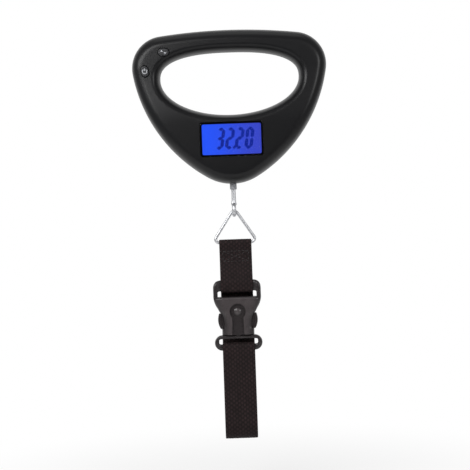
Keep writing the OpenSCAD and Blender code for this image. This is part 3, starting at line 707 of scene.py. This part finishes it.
def trianglePath():
    # apex bend, straight side, corner bend, bottom bar and the mirror image: each straight wire touches
    # both bends
    bend, apexBend, apexZ = triangle["cornerBend"], triangle["apexBend"], triangle["apexZ"]
    cornerC = np.array([triangle["width"] / 2 - bend, triangle["barZ"] + bend])
    v = cornerC - [0, apexZ]
    lean = np.degrees(np.arctan2(v[0], -v[1]) - np.arcsin((apexBend - bend) / np.linalg.norm(v)))
    apex = arcRun((0, apexZ), apexBend, 180 - lean, lean, 24, True)[0]
    right = arcRun(cornerC, bend, lean, -90, 20, True)[0]
    left = arcRun(cornerC * [-1, 1], bend, 270, 180 - lean, 20, True)[0]
    line = np.concatenate([apex, right, left, apex[:1]])
    return atDepth(evenly(line, triangle["step"])[0][:-1], 0.0)


eyeLine = arcRun((0, rod["eyeZ"]), rod["eyeRadius"], 0, 360, 72)[0]
eyeWire = ovalProfile(rod["eyeWire"], rod["eyeWire"], 2, 24)
eye = sweep("eye", sideView(eyeLine), eyeWire, (1, 0, 0), True)
pullRod = joined("pull_rod_eye", [lathe("stem", rodProfile()), eye])
finishPiece(pullRod, platedSteel, "pull_rod", "bright_steel", "pull_rod")
finishPiece(lathe("rod_collar", collarProfile()), bushAcetal, "housing", "bush_plastic", "rod_bush")
ringWire = ovalProfile(triangle["wire"], triangle["wire"], 2, 16)
triangleWire = sweep("triangle_wire", trianglePath(), ringWire, (0, 1, 0), True)
finishPiece(triangleWire, platedSteel, "triangle_ring", "bright_steel", "triangle_ring")
print("rod and triangle")


# webbing: one long strap, sewn round the triangle's bar and led through both buckle halves

strap = dict(width=24, thick=1.16, edge=0.5, edgeThin=0.1, edgePower=8, socketBar=(-183.6, -178.6),
             plugBar=(-227.8, -226.4), buckleY=-3.5, barWrap=2.35, socketTurn=160, plugTurn=185,
             ringWrap=1.87, ply=0.68, seamTop=-154.2, seamEnd=-164.2, loopZ=-284.2, loopR=10.9,
             loopFlat=0.4, splitZ=-200, socketTail=(-0.62, -168.2), step=0.15, soften=0.6, softenReach=20,
             plugTail=[(-1.45, -230.5), (-5.2, -238.5), (-6.45, -250)], blendFrom=0.8, blendTo=7)
# spacing of the cords along and the picks across, drawn about twice as coarse as the real ones so that they
# show; rise and swing are a cord's middle height and how far the picks lift or lower it
threads = dict(cord=2.0, pick=1.6, relief=0.14, rise=0.6, swing=0.4, selvedge=2, fuzzMm=20 / 3, fibreMm=0.4,
               fibreBump=0.35, fibreDepth=0.08)


def strapLine():
    # the webbing's middle line in the side view (y, z), from the tail behind the socket's bar, round the
    # triangle and down the back, round the foot of the loop and up to the tail behind the plug's bar;
    # a running mean with a bell weight takes the kinks out
    y, wrap, ply, flat = strap["buckleY"], strap["barWrap"], strap["ply"], strap["loopFlat"]
    foot, high, loop, loopR = strap["socketBar"], strap["plugBar"], strap["loopZ"], strap["loopR"]
    turns = [((y, foot[0]), wrap, 0, -180), ((y, foot[1]), wrap, 180, strap["socketTurn"]),
             ((0, triangle["barZ"]), strap["ringWrap"], 180, 0), ((flat, loop), loopR, 0, -90),
             ((-flat, loop), loopR, -90, -180), ((y, high[0]), wrap, strap["plugTurn"], 180),
             ((y, high[1]), wrap, 180, 0)]
    bends = [arcRun(*t, 30, True)[0] for t in turns]
    line = np.concatenate([[strap["socketTail"], (y + wrap, foot[1])], *bends[:2],
                           [(-ply, strap["seamEnd"]), (-ply, strap["seamTop"])], bends[2],
                           [(ply, strap["seamTop"]), (ply, strap["seamEnd"])], *bends[3:],
                           [(y + wrap, high[0])], strap["plugTail"]])
    line = evenly(line, strap["step"])[0]
    n = strap["softenReach"]
    weight = np.exp(-0.5 * (np.arange(-n, n + 1) * strap["step"] / strap["soften"]) ** 2)
    padded = np.concatenate([2 * line[0] - line[n:0:-1], line, 2 * line[-1] - line[-2:-n - 2:-1]])
    soft = np.stack([np.convolve(c, weight / weight.sum(), "valid") for c in padded.T], axis=-1)
    return evenly(soft, threads["pick"] / 4)  # four points to a pick


def webProfile():
    # (across, thickness): flat on both faces, a little thinner towards the woven edges, which are half round
    half, edge = strap["width"] / 2, strap["edge"]
    x = np.linspace(edge - half, half - edge, 61)  # about five points to a cord
    h = strap["thick"] / 2 - strap["edgeThin"] * np.abs(x / half) ** strap["edgePower"]
    turn = angles(90, -90, 7)[1:-1]
    right = columns(x[-1] + edge * np.cos(turn), h[-1] * np.sin(turn))
    return np.concatenate([columns(x, h), right, columns(x, -h)[::-1], -right])


def weave(u, v):
    # height from 0 to 1: round cords along the length, the root of |sin v|, times rise + swing sin u,
    # where every second cord has the opposite swing, so that neighbours pass the picks over and under
    cord, pick = np.sin(np.pi * v / threads["cord"]), np.sin(np.pi * u / threads["pick"])
    return np.sqrt(np.abs(cord)) * (threads["rise"] + threads["swing"] * pick * np.sign(cord))


def webbing(name, line, at):
    # the profile carried along the middle line, its faces raised by the weave, which the other face shows
    # reversed; the piece's own coordinates are length along and place across, in millimetres
    section = webProfile()
    across, out = section[None, :, 0], section[None, :, 1]
    u = at[:, None] + np.where(out > 0, 0, threads["pick"])
    flat = np.clip((strap["width"] / 2 - np.abs(across)) / threads["selvedge"], 0, 1)
    raised = out + np.sign(out) * flat * threads["relief"] * (weave(u, across) - 0.5)
    return sweep(name, sideView(line), columns(raised, across), (1, 0, 0),
                 coords=columns(u, across, raised), crease=60)


# nylon webbing, woven: brownish black, dull with a faint sheen; round cords stand above the gaps, and the
# colour follows the weave's height: painted shade in the gaps and painted light on the cord tops, broken
# into uneven clouds of real tone
wovenNylon, tree, shader = newMaterial("nylon_webbing_woven", {
    "Roughness": 0.7, "Specular IOR Level": 0.2, "Sheen Weight": 0.1, "Sheen Roughness": 0.5,
    "Sheen Tint": colour("#6a6264")})
place = addNode(tree, "Attribute", {}, attribute_name="pieceCoord").outputs["Vector"]
axes = addNode(tree, "SeparateXYZ", {"Vector": place})
waves = []
for axis, pitch in (("X", threads["pick"]), ("Y", threads["cord"])):
    turn = addNode(tree, "Math", {0: axes.outputs[axis], 1: np.pi / pitch}, operation="MULTIPLY")
    waves.append(addNode(tree, "Math", {0: turn}, operation="SINE"))
side = addNode(tree, "Math", {0: waves[1]}, operation="SIGN")
over = addNode(tree, "Math", {0: waves[0], 1: side}, operation="MULTIPLY")
carried = {0: over, 1: threads["swing"], 2: threads["rise"]}
lift = addNode(tree, "Math", carried, operation="MULTIPLY_ADD")
cordTop = addNode(tree, "Math", {0: waves[1]}, operation="ABSOLUTE")
cordRound = addNode(tree, "Math", {0: cordTop}, operation="SQRT")
height = addNode(tree, "Math", {0: cordRound, 1: lift}, operation="MULTIPLY")
fuzz = addNode(tree, "TexNoise", {"Vector": place, "Scale": 1 / threads["fuzzMm"], "Detail": 6.0})
# painted shade and light: the weave's low places darker, the cord tops paler, broken up by the fuzz noise
shade = addNode(tree, "Math", {0: height, 1: fuzz}, operation="MULTIPLY")
tones = {6: colour("#110b0b"), 7: colour("#3e2e2f")}
cloth = addNode(tree, "Mix", {"Factor": shade, **tones}, data_type="RGBA")
fibre = addNode(tree, "TexNoise", {"Vector": place, "Scale": 1 / threads["fibreMm"], "Detail": 3.0})
relief = addNode(tree, "Bump", {"Height": fibre, "Strength": threads["fibreBump"],
                                "Distance": threads["fibreDepth"] * mm})
feed(tree, shader, {"Base Color": cloth.outputs[2], "Normal": relief})

line, at = strapLine()
rearRun = (line[:, 0] > 0) & (line[:, 1] < strap["splitZ"])
split = int(np.argmax(rearRun))  # where the rear run passes the buckle
upperWeb = webbing("strap_upper_web", line[:split + 1], at[:split + 1])
finishPiece(upperWeb, wovenNylon, "strap", "webbing", "strap_upper")
lowerWeb = webbing("strap_lower_web", line[split:], at[split:])
lowerWeb.data.materials.append(wovenNylon)
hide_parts("strap_lower")
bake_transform(lowerWeb)
print("webbing:", round(float(at[-1])), "mm along its middle line")

# sewing: a box with a cross through both plies, front and back
stitch = dict(length=2.1, step=2.7, thick=0.28, dip=0.22, flat=0.7, boxX=9.6, boxZ=(-163.2, -155.6))


def stitchRow(a, b):
    # middles of the stitches along a straight seam, and its heading for each
    count = max(1, int(np.linalg.norm(b - a) // stitch["step"]))
    share = (np.arange(count) + 0.5) / count
    return a + share[:, None] * (b - a), np.full(count, np.arctan2(b[1] - a[1], b[0] - a[0]))


def stitches(name, faceY, side):
    # each stitch is a thread of oval section whose middle line is a parabola that dips into the web at
    # both ends
    x, (low, high) = stitch["boxX"], stitch["boxZ"]
    seams = [(-x, low, x, low), (-x, high, x, high), (-x, low, -x, high), (x, low, x, high),
             (-x, low, x, high), (-x, high, x, low)]
    middle, turn = inARow([stitchRow(np.array(s[:2]), np.array(s[2:])) for s in seams])
    along = columns(np.cos(turn), 0, np.sin(turn))[:, None]
    across = columns(-np.sin(turn), 0, np.cos(turn))[:, None, None]
    out = np.array([0, 1, 0])
    t = np.linspace(-1, 1, 7)[:, None]
    arch = side * (stitch["thick"] * (1 - t ** 2) - stitch["dip"]) * out
    core = atDepth(middle, faceY)[:, None] + t * along * stitch["length"] / 2 + arch
    ring = angles(0, 360, 6, False)[:, None]
    oval = np.cos(ring) * across + stitch["flat"] * np.sin(ring) * out
    return gridPiece(name, core[:, :, None] + stitch["thick"] * oval, wrapV=True, caps=True)


# polyester thread, twisted: a touch lighter and shinier than the web
threadBlack = grained("polyester_thread_twisted", "#1d1a1b", "#3a3435", (0.45, 0.6), 0.5, 0.4, 0.8)
for name, side in (("stitching_front", -1), ("stitching_rear", 1)):
    faceY = side * (strap["ply"] + strap["thick"] / 2)
    finishPiece(stitches(name, faceY, side), threadBlack, "strap", "webbing")


# side-release buckle: rows of frame and loop are outer x, outer z, inner x, inner z and half depth; the
# dish's mouth and floor are (grow, depth) steps

buckle = dict(
    y=-3.5, plateHalf=5, topEdge=1.8, mouthEdge=0.35, powers=(4.5, 2.8), bandPower=3, crease=28,
    # the paler tone, its patch size and its least share paint light on the faces that stand proud; the
    # hollows keep the darker tone as painted shade
    paintedLightTone="#504a4b", paintedLightPatchMm=5, paintedLightLeast=0.65, armEdge=0.5, bossZ=-200.2, bossR=3.2, bossFoot=0.3,
    dishR=6.2, dishDepth=1.3, dishMouth=[(0.55, -1), (0.4, -0.05), (0.1, 0.2), (0, 0.45)],
    dishFloor=[(-0.12, -0.2), (-0.4, 0)], channelHalf=(4.3, 4.8), channelEnd=-222, cavityHalf=2.9,
    cavity=[(11.9, -197.6), (12.2, -201.2), (30, -201.2), (30, -213.4), (10.1, -213.4), (10.1, -218.6)],
    tongue=[(1.6, -208), (2.6, -209), (2.6, -219)], tongueHalf=2.5, tongueEdge=0.3,
    plate=[(16.2, -189.4), (16.8, -191.2), (16.5, -193.2), (15.3, -196.5), (13.6, -200.2), (11.6, -203),
           (10.7, -207), (10.7, -211), (11.6, -214), (11.6, -217.6)],
    frame=[(0, -177, 0, -185.2, 1.6), (6, -177, 6, -185.2, 1.6), (11, -177, 11, -185.2, 1.6),
           (13.6, -177.2, 13.2, -185.3, 2.0), (15.8, -178.2, 14.1, -185.6, 2.5),
           (17.2, -180.1, 14.4, -186.2, 2.6), (17.7, -182.5, 14.4, -187, 2.6),
           (17.7, -187, 14.4, -188.6, 2.6), (17.6, -191, 14.4, -190.5, 2.6),
           (16.2, -195.5, 13.0, -194.5, 2.5), (13.3, -200.3, 10.9, -199.3, 2.2)],
    loop=[(0, -217.9, 0, -220.8, 2.6), (7, -217.9, 7, -220.8, 2.6), (12, -217.9, 12.2, -220.8, 2.6),
          (14.9, -218.7, 13.9, -221.1, 2.6), (17, -220.9, 14.4, -222, 2.6),
          (17.7, -223.65, 14.4, -222.8, 2.6), (17, -226.4, 14.4, -223.7, 2.4),
          (14.9, -228.6, 13.9, -224.5, 1.9), (12, -229.4, 12.2, -224.8, 1.6),
          (6, -229.4, 6, -224.8, 1.6), (0, -229.4, 0, -224.8, 1.6)])
buckleFront = buckle["y"] - buckle["plateHalf"]


def bandBetween(name, rows, closed, count=161):
    # a rounded bar between an outer and an inner line, with its mirror image: across them it is a
    # superellipse whose depth changes from row to row
    rows = np.array(rows, float)
    flip = rows[::-1] * [-1, 1, -1, 1, 1]
    run = curveRun(np.concatenate([rows, flip[1:]] if closed else [flip[:-1], rows]), count)
    run = run[:-1] if closed else run
    oval = ovalProfile(np.ones(len(run)), run[:, 4], buckle["bandPower"], 32)
    outer, inside = run[:, None, 0:2], run[:, None, 2:4]
    flat = (outer + inside) / 2 + oval[..., :1] * (outer - inside) / 2
    points = atDepth(flat, buckle["y"] + oval[..., 1])
    return gridPiece(name, points, wrapU=closed, wrapV=True, caps=not closed)


def socketPlate(name, count=90):
    # cross-sections down the plate: superellipses as wide as the outline, flat at the top and rounder
    # towards the mouth, with a quarter-round edge at both ends
    run = curveRun(buckle["plate"], count)
    full, turn = buckle["plateHalf"], angles(0, 90, 8)

    def endRows(end, edge, side):
        # half width, height and half depth along a quarter-round edge
        z, inset = end - side * edge * (1 - np.cos(turn)), edge * (1 - np.sin(turn))
        return columns(np.interp(-z, -run[:, 1], run[:, 0]) - inset, z, full - inset)

    top = endRows(run[0, 1], buckle["topEdge"], 1)
    low = endRows(run[-1, 1], buckle["mouthEdge"], -1)[::-1]
    body = run[(run[:, 1] < top[-1, 1]) & (run[:, 1] > low[0, 1])]
    rows = np.concatenate([top, columns(body[:, 0], body[:, 1], full), low])
    power = np.interp(-rows[:, 1], [-run[0, 1], -run[-1, 1]], buckle["powers"])
    oval = ovalProfile(rows[:, 0], rows[:, 2], power, 120)
    points = columns(oval[..., 0], buckle["y"] + oval[..., 1], rows[:, 1:2])
    return gridPiece(name, points, wrapV=True, caps=True)


def socketTools():
    # cavity for the plug's arms, and a round dish that runs out into a channel down to the mouth, like a
    # keyhole, with a rounded mouth and a rounded floor
    y, deep = buckle["y"], buckle["cavityHalf"]
    (top, foot), end = buckle["channelHalf"], buckle["channelEnd"]
    low = np.degrees(np.arccos(top / buckle["dishR"]))
    dish = arcRun((0, buckle["bossZ"]), buckle["dishR"], -low, 180 + low, 60, True)[0]
    keyhole = roundedLine(np.concatenate([dish, [(-foot, end), (foot, end)]]))
    steps = shifted(buckle["dishMouth"], buckleFront)
    steps += shifted(buckle["dishFloor"], buckleFront + buckle["dishDepth"])
    return [prism("cavity", mirroredLine(buckle["cavity"]), (y - deep, y + deep)),
            stack("keyhole", *keyhole, steps)]


def bossDome():
    # a cap of a sphere on the floor of the dish, as high as the plate's face
    r, h = buckle["bossR"], buckle["dishDepth"]
    ball = (r ** 2 + h ** 2) / (2 * h)
    turn = np.linspace(np.arcsin(r / ball), 0, 12)
    rise = columns(ball * np.sin(turn), buckleFront + ball - ball * np.cos(turn))
    foot = buckleFront + h + buckle["bossFoot"]
    profile = np.concatenate([[[0, foot], [r, foot]], rise])
    return lathe("boss", profile, (0, 0, buckle["bossZ"]), "y", 40)


# acetal, moulded: charcoal, slightly warm, with soft clear highlights on every edge; the faces that stand
# proud are painted paler than the hollows, in soft patches: painted light on the raised faces, and painted
# shade in the dish, the channel, the frame and the plug's loop
buckleAcetal = grained("acetal_buckle_moulded", "#2a2627", "#342f30", (0.26, 0.34), 0.7, 0.1)
tree = buckleAcetal.node_tree
shader = tree.nodes["Principled BSDF"]
place = addNode(tree, "TexCoord", {}).outputs["Object"]
depth = addNode(tree, "SeparateXYZ", {"Vector": place}).outputs["Y"]
hollow = buckleFront + buckle["dishDepth"]
proud = addNode(tree, "MapRange", {"Value": depth, **span(hollow * mm, buckleFront * mm)},
                interpolation_type="SMOOTHSTEP")
patches = addNode(tree, "TexNoise", {"Vector": place, "Scale": 1000 / buckle["paintedLightPatchMm"], "Detail": 4.0})
uneven = addNode(tree, "MapRange", {"Value": patches, **span(*noiseRange, buckle["paintedLightLeast"])})
# painted light and shade: the raised faces get the paler tone in patches, while the dish floor, channel,
# frame and loop stay dark
paintedLightShare = addNode(tree, "Math", {0: proud, 1: uneven}, operation="MULTIPLY")
tones = {6: shader.inputs["Base Color"].links[0].from_socket, 7: colour(buckle["paintedLightTone"])}
tone = addNode(tree, "Mix", {"Factor": paintedLightShare, **tones}, data_type="RGBA")
feed(tree, shader, {"Base Color": tone.outputs[2]})

plate = carve(socketPlate("socket_plate"), socketTools(), buckle["crease"])
socketFrame = bandBetween("socket_frame", buckle["frame"], False)
socket = joined("buckle_socket_half", [plate, bossDome(), socketFrame], buckle["crease"])
finishPiece(socket, buckleAcetal, "strap", "buckle_plastic", "buckle_socket")
plugLoop = bandBetween("plug_loop", buckle["loop"], True)
low, high = buckle["y"] - buckle["tongueHalf"], buckle["y"] + buckle["tongueHalf"]
edge = buckle["tongueEdge"]
tongueSteps = [(-edge, low), (0, low + edge), (0, high - edge), (-edge, high)]
tongue = stack("tongue", *roundedLine(mirroredLine(buckle["tongue"])), tongueSteps)
plug = joined("buckle_plug_half", [plugLoop, tongue])
finishPiece(plug, buckleAcetal, "plug", "buckle_plastic", "buckle_plug")
for side in ("left", "right"):
    arm = bevelledCopy("latch_arm_" + side, "latch_" + side, buckle["armEdge"])
    finishPiece(arm, buckleAcetal, "latch_" + side, "buckle_plastic", "latch_arm_" + side)
print("buckle")


# inside and small pieces keep their CAD shape; a row is the finish's name, two tones, the roughness, the
# grain in millimetres and its relief, and then the clouds in millimetres and 1.0 for a metal

board = ("#1f4a2c", "#2c6138", (0.3, 0.45), 1.2, 0.2, 3)
zinc = ("#a3a6ab", "#bcbfc4", (0.28, 0.4))
brass = ("#b8963f", "#cdae5c", (0.25, 0.35), 0.7, 0.1, 4, 1.0)
vinyl = ((0.45, 0.55), 0.5, 0.1, 3)
inner = {
    # acrylic, moulded: milky, so that light leaves it evenly
    "backlight": ("acrylic_light_guide", "#c9d4ff", "#e2e9ff", (0.35, 0.5), 0.6, 0.1),
    # silicone, layered with carbon: finely mottled dark and grey
    "zebra_strips": ("silicone_strip_layered", "#3c3c40", "#6a6a70", (0.6, 0.7), 0.3, 0.2, 0.4),
    # glass epoxy under green solder mask: glossy, with the faint cloud of the fibres below
    "circuit_board": ("glass_epoxy_board", *board),
    "button_board": ("glass_epoxy_board_small", *board),
    # epoxy, cast in a drop: smooth glossy black
    "controller_chip": ("epoxy_blob_cast", "#101012", "#19191b", (0.2, 0.3), 2.0, 0.1),
    # steel, stamped: plain grey with a dull shine
    "tact_switches": ("switch_steel_stamped", "#8d9095", "#a8abb0", (0.3, 0.4), 0.8, 0.1, 30, 1.0),
    # aluminium, milled: pale, with a fine grain that spreads the highlights
    "load_cell": ("aluminium_cell_milled", "#b3b6bb", "#c6c9ce", (0.28, 0.42), 0.7, 0.25, 30, 1.0),
    # polyimide foil, etched: amber film
    "strain_gauges": ("gauge_foil_etched", "#a8702a", "#c98f44", (0.3, 0.4), 0.5, 0.1),
    # steel, zinc plated: cool grey with faint crystal clouds
    "anchor_plate": ("steel_plate_zinc_plated", *zinc, 1.5, 0.15, 5, 1.0),
    "anchor_bolt": ("steel_bolt_zinc_plated", *zinc, 1.0, 0.15, 4, 1.0),
    "rod_nut": ("steel_nut_zinc_plated", *zinc, 1.0, 0.15, 4, 1.0),
    # steel, blackened: dark grey with a dull shine
    "housing_screws": ("steel_screws_blackened", "#4c4d50", "#636468", (0.3, 0.42), 0.5, 0.2, 3, 1.0),
    # steel can, nickel plated: bright and slightly clouded
    "coin_cell": ("cell_can_nickel", "#b9bbbf", "#d2d4d8", (0.2, 0.3), 0.9, 0.1, 6, 1.0),
    # brass, rolled and cut: warm yellow
    "positive_contact": ("contact_brass_sheet", *brass),
    "negative_contact": ("contact_brass_strip", *brass),
    # vinyl, extruded on to wire: soft satin colours
    "gauge_leads": ("lead_insulation_red", "#8e2626", "#a83434", *vinyl),
    "button_leads": ("lead_insulation_blue", "#2e5990", "#3c6da8", *vinyl),
    "battery_leads": ("lead_insulation_dark_red", "#6d2020", "#802b2b", *vinyl),
}
finishes = {"lcd_panel": litGlass, **{node: grained(*row) for node, row in inner.items()}}
for node, material in finishes.items():
    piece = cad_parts[node]
    piece.data.materials.clear()
    piece.data.materials.append(material)
print("inside:", len(finishes), "nodes")


# stage, light and camera, in metres; sides and backdrop are how far a direction points to the back, from
# -1 to 1; a lamp is x, y, z, power in watts and width, and lampShape is its height over its width

studio = dict(floorZ=-0.332, floorR=0.42, shadowKeep=0.25, fade=(0.02, 0.3), clearFrom=0.1,
              sides=(-0.95, -0.5), sidesGlow=(0.07, 0.3), backdrop=(0.45, 0.8), aim=(0, 0, -0.1),
              lampShape=0.7)
lamps = dict(key=(-0.6, -0.4, 0.15, 1.55, 0.3), fill=(0.9, -0.8, 0.12, 3.0, 0.3),
             top=(0.0, 0.1, 1.1, 1.2, 0.9), sheen=(-0.22, -0.4, 0.12, 1.08, 0.26),
             glint=(0.2, -0.4, 0.09, 0.125, 0.26))
camera = dict(elevation=2.0, roll=2.0, lens=110, sensor=36, fillHeight=0.87)


def whiteShare(tree, part):
    # 1 where the camera itself looks, and a part where metal or glass shows what is round the object
    path = addNode(tree, "LightPath", {}).outputs
    rays = {0: path["Is Glossy Ray"], 1: path["Is Transmission Ray"]}
    mirrored = addNode(tree, "Math", rays, operation="MAXIMUM")
    faint = addNode(tree, "Math", {0: mirrored, 1: part}, operation="MULTIPLY")
    return addNode(tree, "Math", {0: path["Is Camera Ray"], 1: faint}, operation="MAXIMUM")


floorRim = disc(studio["floorR"], 96)[0]
floorPoints = columns(floorRim[:, 0], floorRim[:, 1], studio["floorZ"])
floorMesh = bpy.data.meshes.new("floor")
floorMesh.from_pydata(floorPoints.tolist(), [], [list(range(len(floorPoints)))])
floor = placed("floor", floorMesh)
# paper, matt: white, with a weak shadow under the object that fades out into the white round it
paper, tree, shader = newMaterial("floor_paper_matt", {"Base Color": colour("#f2f2f2"), "Roughness": 0.9})
place = addNode(tree, "TexCoord", {}).outputs["Object"]
flat = addNode(tree, "VectorMath", {0: place, 1: (1, 1, 0)}, operation="MULTIPLY")
away = addNode(tree, "VectorMath", {0: flat}, operation="LENGTH").outputs["Value"]
clear = addNode(tree, "MapRange", {"Value": away, **span(studio["clearFrom"], studio["floorR"])})
fade = addNode(tree, "MapRange", {"Value": away, **span(*studio["fade"], 1 - studio["shadowKeep"])},
               interpolation_type="SMOOTHSTEP")
share = addNode(tree, "Math", {0: whiteShare(tree, clear), 1: fade}, operation="MULTIPLY")
white = addNode(tree, "Emission", {"Color": colour("#ffffff"), "Strength": 1.0})
mixed = addNode(tree, "MixShader", {0: share, 1: shader, 2: white})
feed(tree, tree.nodes["Material Output"], {"Surface": mixed})
floorMesh.materials.append(paper)

# a room that is dark round the camera and dim at the sides, so that faces turned to the camera stay deep in
# tone; the camera sees it white, and so do metal and glass where they show what is behind the object
world = bpy.data.worlds.new("studio")
bpy.context.scene.world = world
world.use_nodes = True
tree = world.node_tree
tree.nodes.clear()
around = addNode(tree, "TexCoord", {}).outputs["Generated"]
depth = addNode(tree, "SeparateXYZ", {"Vector": around}).outputs["Y"]
walls = addNode(tree, "MapRange", {"Value": depth, **span(*studio["sides"], *studio["sidesGlow"])})
backdrop = addNode(tree, "MapRange", {"Value": depth, **span(*studio["backdrop"])})
strength = addNode(tree, "Math", {0: whiteShare(tree, backdrop), 1: walls}, operation="MAXIMUM")
room = addNode(tree, "Background", {"Strength": strength, "Color": colour("#ffffff")})
addNode(tree, "OutputWorld", {"Surface": room})

for label, (x, y, z, power, size) in lamps.items():
    lamp = bpy.data.lights.new(label + "_softbox", "AREA")
    lamp.energy = power
    lamp.shape = "RECTANGLE"
    lamp.size = size
    lamp.size_y = size * studio["lampShape"]
    holder = placed(label + "_softbox", lamp)
    holder.location = (x, y, z)
    holder.visible_camera = False
    aim = Vector(studio["aim"]) - holder.location
    holder.rotation_euler = aim.to_track_quat("-Z", "Y").to_euler()

low, high = cadBox
lensData = bpy.data.cameras.new("camera")
lensData.lens = camera["lens"]
lensData.sensor_width = camera["sensor"]
viewer = placed("camera", lensData)
distance = (high.z - low.z) / camera["fillHeight"] * camera["lens"] / camera["sensor"]
up = radians(camera["elevation"])
back = Vector((0, -np.cos(up), np.sin(up)))
viewer.location = (low + high) / 2 + back * distance
viewer.rotation_mode = "QUATERNION"
roll = Quaternion((0, 0, 1), -radians(camera["roll"]))
viewer.rotation_quaternion = (-back).to_track_quat("-Z", "Y") @ roll
bpy.context.scene.camera = viewer
bpy.context.scene.view_settings.view_transform = "Standard"
print("stage, light and camera")
